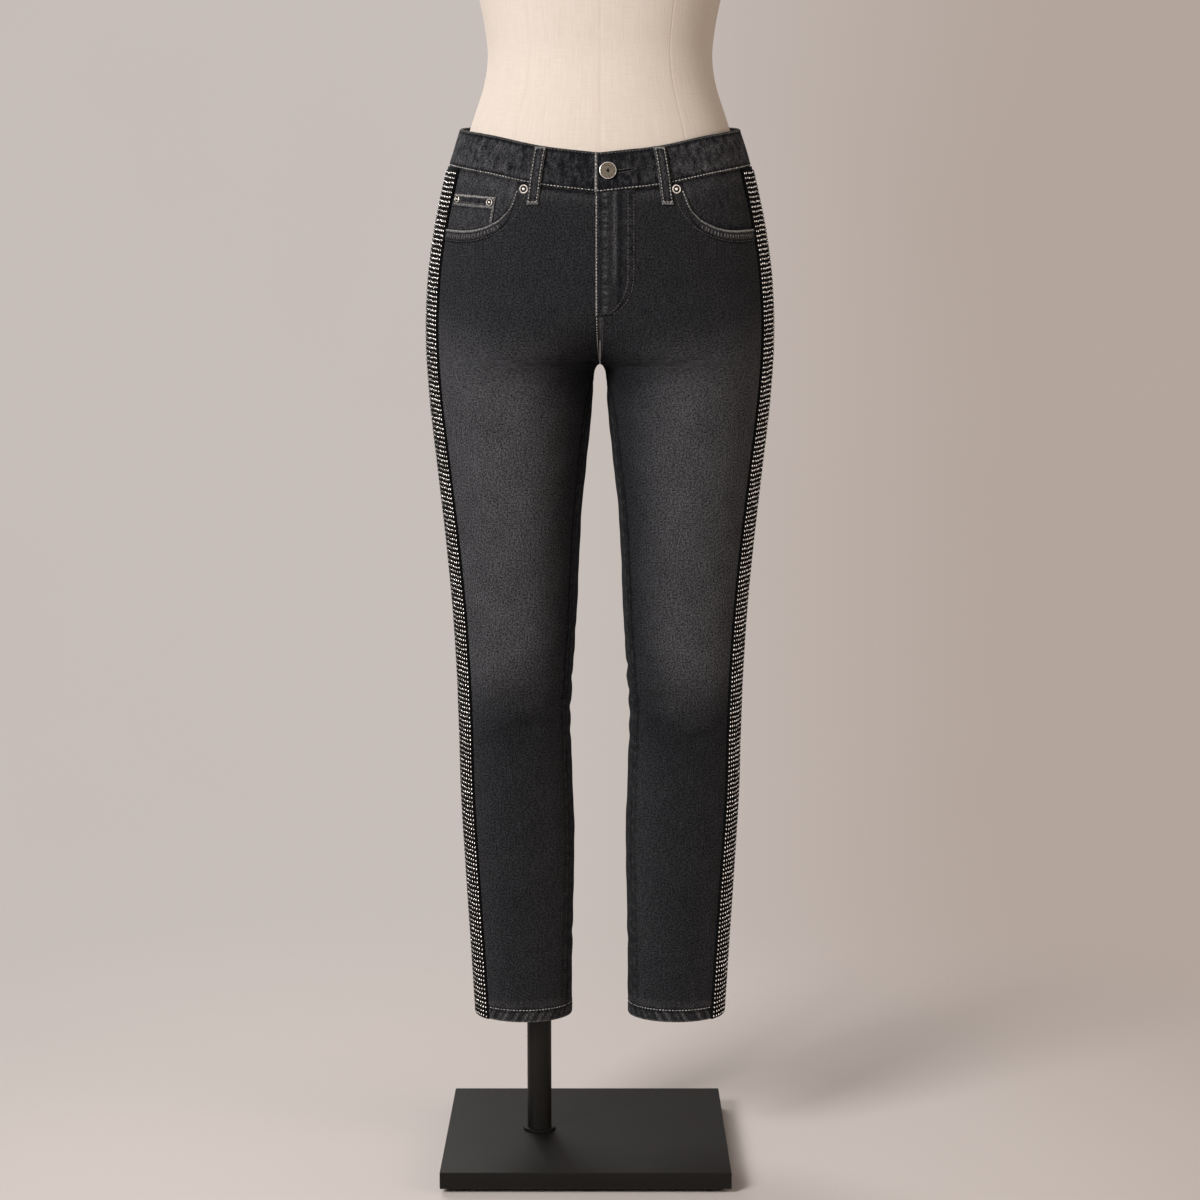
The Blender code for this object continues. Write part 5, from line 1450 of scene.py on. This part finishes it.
def seamRows():
    pale, dim, black = [], [], []
    fine = 160
    reach = -float(frontRun(waistSeamLine[0][1]))
    # waistband, both edges, with the lapped end over the middle
    for share, bucket in ((0.045, pale), (0.955, dim)):
        distance = np.linspace(band["lapStart"] + 0.0012, band["lapFade"], 40)
        lapped = band["lapOut"] * (1 - ease((distance - band["lapEnd"]) / (band["lapFade"] - band["lapEnd"])))
        way = np.abs(distance) / reach
        z = waistSeam(way) + (bandTop(way) - waistSeam(way)) * share
        gauge = stitch["bandGauge"]
        bucket.append((*crossLine(z, distance, band["out"] + lapped), *gauge))
        bucket.append((*bandLine(np.linspace(band["lapFade"] / reach, 1.995, 500), 1, share, 0.0), *gauge))
        bucket.append((*bandLine(np.linspace(0.03, 1.995, 500), -1, share, 0.0), *gauge))
    tall = np.linspace(0.06, 0.94, 30)
    z = waistSeam(0.0) + (bandTop(0.0) - waistSeam(0.0)) * tall
    lapEdge = np.full(30, band["lapStart"] + 0.0015)
    pale.append((*crossLine(z, lapEdge, band["out"] + band["lapOut"]), *stitch["endGauge"]))
    # fly edge and the seam below it
    z = np.linspace(0.9925, fly["foot"] + 0.001, 120)
    pale.append(crossLine(z, np.full(120, fly["edge"] + 0.0011), 0.0004 + fly["thick"] * 0.95))
    z = np.linspace(fly["foot"] - 0.001, cut["crotch"] + 0.004, 60)
    pale.append(crossLine(z, np.linspace(fly["edge"] + 0.0011, -0.0032, 60), 0.0003))
    dim.append(crossLine(z, np.linspace(0.0030, 0.0034, 60), 0.0003))
    # fly curve, two rows
    bend, foot = 0.9155, 0.8775
    swing = np.sin(np.linspace(0.02, 0.5 * np.pi, 60))
    z = np.concatenate([np.linspace(0.9945, bend, 80), bend - (bend - foot) * swing])
    for inset in (0.0008, 0.0066):
        spot = np.maximum(flyReach(z) - inset, 0.0035)
        rise = 0.15 + 0.85 * ease((flyReach(z) - spot) / 0.005)
        dim.append(crossLine(z, spot, 0.0004 + fly["thick"] * rise + 0.0001))
    for side in (1, -1):
        # front pocket edge, two rows
        across = np.linspace(cut["pocketStart"] + 0.004, 0.995, fine)
        edgeZ = pocketCut(across)
        edge = np.stack([frontAlong(across, edgeZ), edgeZ], -1)
        tangent = np.gradient(edge, axis=0)
        tangent /= np.linalg.norm(tangent, axis=-1, keepdims=True)
        inward = np.stack([tangent[:, 1], -tangent[:, 0]], -1)  # towards the panel
        inward *= np.where(inward[:, 1:] > 0, -1, 1)
        edgeRun = np.cumsum(np.linalg.norm(np.diff(edge, axis=0), axis=1))
        for k in np.flatnonzero(np.diff(np.floor(edgeRun / 0.0033))):
            if 0.60 < across[k] < 0.985:  # ribs gathered under the rolled edge
                place = edge[k] + inward[k] * np.linspace(0.0024, 0.0098, 5)[:, None]
                if place[:, 0].max() < -cut["stripHalf"] - 0.0005:
                    u = place[:, 0] - frontRun(place[:, 1])
                    dim.append((*frontLine(place[:, 1], u, side, 0.0004), *stitch["ribGauge"]))
        for inset, bucket in ((0.0014, pale), (0.0108, dim)):
            place = edge + inward * inset
            keep = (place[:, 0] < -cut["stripHalf"] - 0.0005) & (place[:, 1] < 0.9995)
            place = place[keep]
            u = place[:, 0] - frontRun(place[:, 1])
            rise = 0.00065 if inset < 0.002 else 0.0004
            bucket.append(frontLine(place[:, 1], u, side, rise))
        # inseam
        z = np.linspace(cut["crotch"] - 0.004, cut["hem"] + cut["hemDepth"] + 0.002, 500)
        black.append(frontLine(z, np.full(500, 0.0050), side, 0.0005))
        black.append(backLine(z, np.full(500, 0.0040), side, 0.0001))
        # hem
        z = np.full(260, cut["hem"] + cut["hemDepth"] - 0.0014)
        along = np.linspace(float(frontRun(z[0])) + 0.001, float(backRun(z[0])) - 0.001, 260)
        off = np.abs(along) > cut["stripHalf"] + 0.001
        for part in (along[off & (along < 0)], along[off & (along > 0)]):
            line = lineOn(z[:len(part)], part, np.full(len(part), 0.0002), side)
            pale.append((*line, *stitch["hemGauge"]))
        # yoke seam, two rows
        along = np.linspace(cut["stripHalf"] + 0.001, float(backRun(cut["yokeSide"])) - 0.001, 200)
        for above, bucket in ((0.0014, pale), (0.0075, dim)):
            z = yokeLine(backWay(along)) + above
            reached = along * backRun(z) / backRun(cut["yokeSide"])
            bucket.append(lineOn(z, reached, slack(along, z, 8.0 + side) + 0.0008, side))
    # seat seam, two rows on the lapped side
    z = np.linspace(cut["yokeBack"] - 0.002, cut["crotch"] + 0.003, 120)
    for inset, bucket in ((0.0014, pale), (0.0078, dim)):
        bucket.append(backLine(z, np.full(120, inset), 1, 0.0006))
    for side in (1, -1):
        # back pockets: round the edge, and the top hem
        for inset, bucket in ((0.0016, pale), (0.0078, dim)):
            s0, t0 = inset / backPocketShape["wide"], inset / backPocketShape["tall"]
            outline = [(s0, t0), (s0, 1 - t0), (backPocketShape["split"], 1 - t0), (1 - s0, 1 - t0),
                       (1 - s0, t0)]
            s, t = (np.concatenate([np.linspace(a[axis], b[axis], 50, endpoint=False)
                                    for a, b in zip(outline, outline[1:])]) for axis in (0, 1))
            bucket.append(pocketStitchLine(s, t, side))
        s = np.linspace(0.012, 0.988, 80)
        for down, bucket in ((0.0016, dim), (0.0105, pale)):
            bucket.append(pocketStitchLine(s, np.full(80, down / backPocketShape["tall"]), side))
    # coin pocket: two rows under its top edge, one down its side
    across = np.linspace(coinPocket["from"] + 0.008, coinPocket["to"] - 0.004, 60)
    share = (across - coinPocket["from"]) / (coinPocket["to"] - coinPocket["from"])
    topEdge = coinPocket["topInner"] + (coinPocket["topOuter"] - coinPocket["topInner"]) * share
    for down, bucket in ((0.0014, pale), (0.0075, dim)):
        z = topEdge - down
        bucket.append(lineOn(z, frontAlong(across, z), np.full(60, 0.0011), -1))
    z = np.linspace(coinPocket["topInner"] - 0.0015, float(pocketCut(coinPocket["from"])) + 0.001, 30)
    pale.append(lineOn(z, frontAlong(coinPocket["from"] + 0.010, z), np.full(30, 0.0008), -1))
    # and two down its outer side
    for inset in (0.0048, 0.0076):
        z = np.linspace(0.9875, 0.9655, 30)
        dim.append(lineOn(z, np.full(30, -cut["stripHalf"] - inset), np.full(30, 0.0009), -1))
    # belt loops: both long edges, bars at top and foot
    for loop in loops["places"]:
        t = np.linspace(0.03, 0.97, 40)
        for edge in (-0.0042, 0.0042):
            points = loopPoint(loop, t, np.full(40, edge), np.full(40, loops["thick"] + 0.0001))
            more = loopPoint(loop, t, np.full(40, edge), np.full(40, loops["thick"] + 0.0011))
            pale.append((points, (more - points) * 1000))
        for t0 in (0.035, 0.955):
            edge = np.linspace(-0.0050, 0.0050, 12)
            points = loopPoint(loop, np.full(12, t0), edge, np.full(12, loops["thick"] + 0.0001))
            more = loopPoint(loop, np.full(12, t0), edge, np.full(12, loops["thick"] + 0.0011))
            pale.append((points, (more - points) * 1000))
    return pale, dim, black


hole = {
    "from": 0.0160, "to": 0.0345, "height": 1.0155, "rise": 0.0030,
    "half": 0.0014, "eye": 0.0028, "slit": 0.0013,
}


def holeLine(share):
    reach = hole["from"] + (hole["to"] - hole["from"]) * share
    return reach, hole["height"] + hole["rise"] * share


def makeButtonhole():
    # a dark slit with its eye towards the button, overcast all round
    share = np.linspace(0, 1, 16)
    spot, z = holeLine(share)
    half = hole["slit"] + (hole["eye"] - hole["slit"]) * bump(share, 0.10, 0.12)
    across = np.linspace(-1, 1, 5)[:, None]
    base = band["out"] + band["lapOut"]
    outer = crossSkin(z + across * half, spot + 0 * across, np.full((5, 16), base + 0.00045))
    inner = crossSkin(z + across * half, spot + 0 * across, np.full((5, 16), base - 0.0002))
    slit = clothShell("buttonhole", outer, inner, spot, z + across * half, tape)
    turns = np.linspace(0, 2 * np.pi, 90)
    spot, z = holeLine(0.5 - 0.53 * np.cos(turns))
    wide = hole["half"] + (hole["eye"] - 0.0004) * bump(np.cos(turns), 1.0, 0.35)
    points, normals = crossLine(z + wide * np.sin(turns), spot, base + 0.0003)
    stitchPiece("buttonholeStitches", [(points, normals, *stitch["holeGauge"])], threadDim)


def pocketStitchLine(s, t, side):
    x, z = pocketPlace(s, t)
    turn = backTurn(x, z)
    base = backOut(z, turn, side) + backPocketShape["lift"] + backPocketShape["thick"]
    points, normals = skinTurn(z, turn, base)
    return mirror(points, side), mirror(normals, side)


# fasteners

def turnedPart(profile, sides, matrix):
    # profile: (radius, height, tone of the band that starts there)
    turns = 2 * np.pi * np.arange(sides) / sides
    points = np.concatenate([
        np.stack([reach * np.cos(turns), reach * np.sin(turns), np.full(sides, height)], -1)
        for reach, height, _ in profile])
    points = points @ np.array(matrix.to_3x3()).T + np.array(matrix.translation)
    ring = np.arange(sides)
    ends = [ring[::-1].tolist(), (ring + (len(profile) - 1) * sides).tolist()]
    faces = tubeQuads(sides, len(profile) - 1).tolist() + ends
    tones = [profile[k][2] for k in range(len(profile) - 1) for _ in range(sides)] + [0, profile[-1][2]]
    return points, faces, tones


def facingMatrix(point, normal):
    return Matrix.Translation(Vector(point)) @ Vector(normal).to_track_quat("Z", "Y").to_matrix().to_4x4()


button = {
    "u": 0.0076, "height": 1.0165, "radius": 0.0085, "sides": 48,
    # share of the radius, height, tone: 0 body, 1 bright, 2 dark
    "profile": (
        (0.70, -0.0003, 2), (0.80, 0.0, 2), (0.96, 0.0004, 2), (1.0, 0.0009, 0), (1.0, 0.0019, 1),
        (0.955, 0.0027, 1),
        (0.91, 0.0028, 1), (0.87, 0.0024, 2), (0.84, 0.0020, 0), (0.66, 0.0020, 0), (0.645, 0.0023, 0),
        (0.60, 0.0023, 2), (0.585, 0.0020, 0), (0.42, 0.0020, 0), (0.405, 0.0023, 0), (0.36, 0.0023, 2),
        (0.345, 0.0020, 0), (0.20, 0.0020, 2), (0.17, 0.0014, 2), (0.10, 0.0013, 2)),
    "dots": 26,                      # fine beading between rim and ring
    "dot": ((0.00038, 0.0018, 0), (0.00036, 0.0021, 0), (0.00024, 0.0023, 0), (0.00008, 0.00236, 0)),
}


def makeButton():
    z = button["height"]
    along = float(frontRun(z)) + button["u"]
    point = skin(z, along, band["out"] + band["lapOut"] + 0.0005)
    matrix = facingMatrix(point, skinNormal(z, along))
    profile = [(share * button["radius"], height, tone) for share, height, tone in button["profile"]]
    parts = [turnedPart(profile, button["sides"], matrix)]
    for k in range(button["dots"]):
        turn = 2 * math.pi * k / button["dots"]
        spot = Matrix.Translation(Vector((math.cos(turn), math.sin(turn), 0)) * (0.75 * button["radius"]))
        parts.append(turnedPart(button["dot"], 6, matrix @ spot))
    fastener("waistButton", parts, (bronze, gunmetal, darkMetal), "waist_button")


def fastener(name, parts, materials, node):
    vertices, faces, tones, shift = [], [], [], 0
    for points, polygons, partTones in parts:
        vertices += points.tolist()
        faces += [[index + shift for index in polygon] for polygon in polygons]
        tones += partTones
        shift += len(points)
    mesh = bpy.data.meshes.new(name)
    mesh.from_pydata(vertices, [], faces)
    for material in materials:
        mesh.materials.append(material)
    mesh.polygons.foreach_set("material_index", tones)
    smoothMesh(mesh, 35)
    piece = setPiece(name, mesh)
    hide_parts(node)


rivets = {
    "radius": 0.0046, "coinRadius": 0.0037, "sides": 32,
    "profile": (
        (0.90, -0.0003, 2), (1.0, 0.0, 2), (1.0, 0.0006, 1), (0.94, 0.0011, 1), (0.84, 0.0013, 1),
        (0.72, 0.0011, 2), (0.66, 0.0004, 2), (0.44, 0.0003, 2), (0.37, 0.0010, 1), (0.31, 0.0016, 1),
        (0.20, 0.0019, 1), (0.07, 0.0020, 1)),
    "places": (  # name, node, side, u, height, out, which radius
        ("rivetPocketLeft", "rivet_pocket_left", 1, 0.0755, 0.9995, 0.0006, "radius"),
        ("rivetPocketRight", "rivet_pocket_right", -1, 0.0755, 0.9995, 0.0006, "radius"),
        ("rivetCoinInner", "rivet_coin_inner", -1, 0.1120, 0.9872, 0.0012, "coinRadius"),
        ("rivetCoinOuter", "rivet_coin_outer", -1, 0.1545, 0.9918, 0.0012, "coinRadius"),
    ),
}


def makeRivets():
    for name, node, side, u, z, out, size in rivets["places"]:
        along = float(frontRun(z)) + u
        point = mirror(skin(z, along, out), side)
        normal = mirror(skinNormal(z, along), side)
        profile = [(share * rivets[size], height, tone) for share, height, tone in rivets["profile"]]
        parts = [turnedPart(profile, rivets["sides"], facingMatrix(point, normal))]
        fastener(name, parts, (bronze, gunmetal, darkMetal), node)


# dress form

form = {
    "fullness": 2.2, "gap": 0.0022,
    # height, half width, front, back
    "upper": (
        (1.2230, 0.1285, -0.0985, 0.0930), (1.1940, 0.1219, -0.0935, 0.0885),
        (1.1650, 0.1163, -0.0895, 0.0850), (1.1370, 0.1137, -0.0870, 0.0820),
        (1.1070, 0.1178, -0.0895, 0.0815), (1.0830, 0.1254, -0.0935, 0.0825),
        (1.0600, 0.1330, -0.0978, 0.0855), (1.0300, 0.1430, -0.1025, 0.0920),
        (0.9950, 0.1540, -0.1058, 0.1050)),
    "hips": (0.960, 0.930, 0.908),   # heights where the form follows the jeans
    "under": ((0.885, 0.975), (0.868, 0.925), (0.857, 0.850), (0.852, 0.770)),  # height, share of the width
    "wall": (1.2185, 0.86, 150), "curl": (0.8585, 0.852, 6),  # from, to, rows
    # share of the width, height: the top rolls over into a flat cloth-covered lid, the foot closes
    "lid": ((0.995, 1.2212), (0.980, 1.2236), (0.955, 1.2248), (0.90, 1.2250), (0.6, 1.2250), (0.3, 1.2250),
            (0.02, 1.2250)),
    "foot": ((0.97, 0.8523), (0.7, 0.8518), (0.3, 0.8518), (0.02, 0.8518)),
    "hipsFrom": 1.083, "hipsOver": 0.02,
    "around": 160, "princess": 0.62,  # points round, turn of the seams from the middle
    "girth": 0.86,                   # once round, for the size of the weave
}


def makeForm():
    marks = [(z, half, front, back, 1.0) for z, half, front, back in form["upper"]]
    for z in form["hips"]:
        marks.append((z, float(sideReach(z)) - form["gap"], float(frontReach(z)) + form["gap"],
                      float(backReach(z)) - form["gap"], 1.0))
    for z, scale in form["under"]:
        marks.append((z, float(sideReach(z)) - form["gap"], float(frontReach(z)) + form["gap"],
                      float(backReach(z)) - form["gap"], scale))
    marks = np.array(marks)[::-1]
    halfs, fronts, backs, scales = (smoothLine(np.stack([marks[:, 0], marks[:, k]], -1)) for k in range(1, 5))
    z = np.concatenate([np.linspace(*form["wall"]), np.linspace(*form["curl"])])[:, None]
    seamTurns = [0.0, form["princess"], -form["princess"], 0.5 * np.pi, -0.5 * np.pi,
                 np.pi - form["princess"], np.pi + form["princess"], np.pi]
    close = np.array([-0.018, -0.007, 0.0, 0.007, 0.018])
    turn = np.concatenate([np.linspace(0, 2 * np.pi, form["around"] + 1)]
                          + [(at - np.pi) % (2 * np.pi) + close for at in seamTurns[:-1]]
                          + [close[3:], 2 * np.pi + close[:2]])
    turn = np.unique(np.round(turn, 6))[None, :] + np.pi  # the mesh closes at the back
    low = np.clip((form["hipsFrom"] - z) / form["hipsOver"], 0, 1)
    power = 2 / form["fullness"] * (1 - low) + low * ovalAt(np.maximum(z, form["hips"][-1]))[4]
    half, front, back = halfs(z) * scales(z), fronts(z), backs(z)
    centre, deep = (front + back) / 2, (back - front) / 2 * scales(z)
    seam = np.zeros(turn.shape)
    for at in seamTurns:
        off = (turn - at + np.pi) % (2 * np.pi) - np.pi
        seam = seam + np.exp(-(off / 0.006) ** 2)
    seam = np.clip(seam, 0, 1)
    shrink = 1 - 0.0025 * seam
    x = half * signedPower(np.sin(turn), power) * shrink
    y = centre - deep * signedPower(np.cos(turn), power) * shrink
    points = np.stack([x, y, np.broadcast_to(z, x.shape)], -1)
    rows = len(z)

    def closing(row, shares):
        # copies of the end row, drawn in towards its middle
        made = []
        for shrinkTo, height in shares:
            ringPoints = points[row].copy()
            ringPoints[:, 0] *= shrinkTo
            ringPoints[:, 1] = centre[row] + (ringPoints[:, 1] - centre[row]) * shrinkTo
            ringPoints[:, 2] = height
            made.append(ringPoints)
        return made

    lidRows, footRows = closing(0, form["lid"])[::-1], closing(-1, form["foot"])
    points = np.concatenate([np.array(lidRows), points, np.array(footRows)])
    width = seam.shape[1]
    seamAll = np.concatenate([np.zeros((len(lidRows), width)), np.broadcast_to(seam, (rows, width)),
                              np.zeros((len(footRows), width))])
    ring = points[:, :-1]
    count = ring.shape[1]
    total = ring.shape[0]
    index = np.arange(total * count).reshape(total, count)
    nextIndex = np.roll(index, -1, axis=1)
    faces = np.stack([index[:-1], nextIndex[:-1], nextIndex[1:], index[1:]], -1).reshape(-1, 4).tolist()
    faces += [index[0].tolist(), index[-1][::-1].tolist()]
    mesh = bpy.data.meshes.new("dressForm")
    mesh.from_pydata(ring.reshape(-1, 3).tolist(), [], faces)
    arc = (turn[0] - np.pi) / (2 * np.pi) * form["girth"]
    run = np.concatenate([[0], np.cumsum(np.linalg.norm(np.diff(points[:, 0], axis=0), axis=-1))])
    layer = mesh.uv_layers.new(name="cloth")
    corners = np.empty(len(mesh.loops), int)
    mesh.loops.foreach_get("vertex_index", corners)
    column, row = corners % count, corners // count
    uv = np.stack([arc[column], -run[row]], -1)
    faceOf = np.repeat(np.arange(len(mesh.polygons)), [len(p.vertices) for p in mesh.polygons])
    lastColumn = (faceOf < (total - 1) * count) & (faceOf % count == count - 1) & (column == 0)
    uv[lastColumn, 0] = arc[-1]
    layer.data.foreach_set("uv", uv.ravel())
    attribute = mesh.attributes.new("seam", "FLOAT", "POINT")
    attribute.data.foreach_set("value", seamAll[:, :-1].ravel())
    mesh.materials.append(linen)
    smoothMesh(mesh)
    piece = setPiece("dressForm", mesh)
    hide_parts("dress_form")


standNodes = {"steel": ("base_plate", "stand_post", "post_collar"), "feet": 4}


def dressStand():
    # the stand's own solids are kept and given their finishes
    feet = ["stand_foot_" + str(number + 1) for number in range(standNodes["feet"])]
    for names, material in ((standNodes["steel"], steel), (feet, rubber)):
        for name in names:
            for entry in bpy.data.objects[name].material_slots:
                entry.material = material


# stage, light, camera

studio = {
    "floor": rgb(212, 204, 200), "floorRadius": 4.0, "floorSides": 96,
    # the wall lit on the left and darker on the right: painted shade from the key light on the left
    "wallLitLeft": rgb(199, 190, 185),
    "wallShadedRight": rgb(179, 165, 156),
    "fadeFrom": 0.30, "fadeTo": 1.25,  # metres, where the floor runs out into the wall's tone
    "ambient": 0.34,                 # strength of the soft light all round
    "shine": 2.7, "dull": 0.42,      # what metal mirrors, from the camera's side and from elsewhere
    # place, aimed at, size, watts, colour
    "lights": (
        ((-1.80, -2.20, 1.90), (0.0, 0.0, 0.68), 1.1, 92.0, (1.0, 0.985, 0.97)),
        ((2.3, -1.2, 1.2), (0.0, 0.0, 0.60), 1.6, 17.0, (1.0, 0.84, 0.68)),
        ((-1.1, 2.1, 2.1), (0.0, 0.0, 0.75), 1.6, 42.0, (1.0, 0.99, 0.98)),
    ),
}
photoCamera = {"place": (0.0, -2.656, 0.855), "down": 0.10176, "lens": 77.25, "sensor": 36.0}


def makeFloor():
    mesh = bpy.data.meshes.new("floor")
    sides, reach = studio["floorSides"], studio["floorRadius"]
    turns = 2 * np.pi * np.arange(sides) / sides
    rim = [(reach * math.cos(turn), reach * math.sin(turn), 0.0) for turn in turns]
    mesh.from_pydata(rim, [], [list(range(sides))])
    floor = bpy.data.objects.new("floor", mesh)
    bpy.context.scene.collection.objects.link(floor)
    material, wire, shader = newMaterial("studioFloor")
    place = wire.node("ShaderNodeTexCoord", out=3)
    cloud = noise(wire, place, 1.5, 3.0, 0.5, "3D")
    colour = cloud.blend(studio["floor"], tuple(c * 0.985 for c in studio["floor"][:3]) + (1.0,))
    feed(wire, shader, colour=colour, roughness=0.9, specular=0.1)
    far = place.node("ShaderNodeVectorMath", {"operation": "LENGTH"}, {0: place}, out=1)
    gone = far.within(studio["fadeFrom"], studio["fadeTo"])
    clear = wire.node("ShaderNodeBsdfTransparent")
    mixed = wire.node("ShaderNodeMixShader", {}, {0: gone, 1: Wire(wire.tree, shader.outputs[0]), 2: clear})
    wire.tree.links.new(mixed.socket, wire.tree.nodes["Material Output"].inputs["Surface"])
    mesh.materials.append(material)


def makeWorld():
    # the wall's tone as the camera sees it, painted darker to the right as shade from the key light on the
    # left, a dim light from all round, and what metal mirrors
    world = bpy.data.worlds.new("studioWorld")
    world.use_nodes = True
    wire = Wire(world.node_tree, None)
    way = wire.node("ShaderNodeTexCoord", out=0)
    across = way.node("ShaderNodeSeparateXYZ", {}, {"Vector": way})
    cloud = noise(wire, way, 7.0, 3.0, 0.5, "3D")
    # darker towards the right: painted shade
    tone = (across.within(-0.04, 0.17) + (cloud - 0.5) * 0.22).clamped()
    shadedWall = tone.blend(studio["wallLitLeft"], studio["wallShadedRight"])
    wall = wire.node("ShaderNodeBackground", {}, {"Color": shadedWall})
    glow, dull, shine = (
        wire.node("ShaderNodeBackground", {}, {"Color": studio["wallLitLeft"], "Strength": studio[name]})
        for name in ("ambient", "dull", "shine"))
    behind = Wire(wire.tree, across.socket.node.outputs[1]).within(-0.65, -0.05)
    mirrored = wire.node("ShaderNodeMixShader", {}, {0: behind, 1: shine, 2: dull})
    seen = wire.node("ShaderNodeLightPath")
    glossy = Wire(wire.tree, seen.socket.node.outputs["Is Glossy Ray"])
    around = wire.node("ShaderNodeMixShader", {}, {0: glossy, 1: glow, 2: mirrored})
    both = wire.node("ShaderNodeMixShader", {}, {0: seen, 1: around, 2: wall})
    wire.tree.links.new(both.socket, wire.tree.nodes["World Output"].inputs["Surface"])
    bpy.context.scene.world = world


def makeLights():
    for number, (place, aim, size, watts, colour) in enumerate(studio["lights"]):
        lamp = bpy.data.lights.new("softbox" + str(number), "AREA")
        lamp.shape = "SQUARE"
        lamp.size = size
        lamp.energy = watts
        lamp.color = colour
        item = bpy.data.objects.new(lamp.name, lamp)
        item.location = place
        item.rotation_euler = (Vector(aim) - Vector(place)).to_track_quat("-Z", "Y").to_euler()
        bpy.context.scene.collection.objects.link(item)


def makeCamera():
    data = bpy.data.cameras.new("photoCamera")
    data.lens = photoCamera["lens"]
    data.sensor_width = photoCamera["sensor"]
    data.sensor_fit = "HORIZONTAL"
    data.clip_start = 0.05
    item = bpy.data.objects.new("photoCamera", data)
    item.location = photoCamera["place"]
    item.rotation_euler = (math.pi / 2 - photoCamera["down"], 0, 0)
    bpy.context.scene.collection.objects.link(item)
    bpy.context.scene.camera = item


# everything in its place

bpy.context.scene.view_settings.view_transform = "Standard"
makeForm()
dressStand()
print("form and stand dressed")

paleRows, dimRows, blackRows = seamRows()
stitchPiece("stitchesPale", paleRows, threadLight)
stitchPiece("stitchesGrey", dimRows, threadDim)
stitchPiece("stitchesBlack", blackRows, threadBlack)
print("stitching laid")

for side, tag in ((1, "Left"), (-1, "Right")):
    pocket, pocketGrid = makeBackPocket(side, tag)
    declareSheet(pocket, pocketGrid)
    tapePiece, tapeGrid = makeTapePiece(side, tag)
    beads = makeBeads(side, tag)
    declareSheet(tapePiece, tapeGrid)
    for maker in (makeFrontPanel, makeBackPanel, makeYoke, makeFacing, makeHemBand):
        piece, grid = maker(side, tag)
        declareSheet(piece, grid)
    print("panels and strip made,", tag.lower())

coin, coinGrid = makeCoinPocket()
declareSheet(coin, coinGrid)
flap, flapGrid = makeFly()
declareSheet(flap, flapGrid)
beltLoops = makeBeltLoops()
waistband, bandGrid = makeWaistband()
declareSheet(waistband, bandGrid)
print("waistband, loops, fly and coin pocket made")

makeButtonhole()
makeButton()
makeRivets()
print("fasteners made")

makeFloor()
makeWorld()
makeLights()
makeCamera()
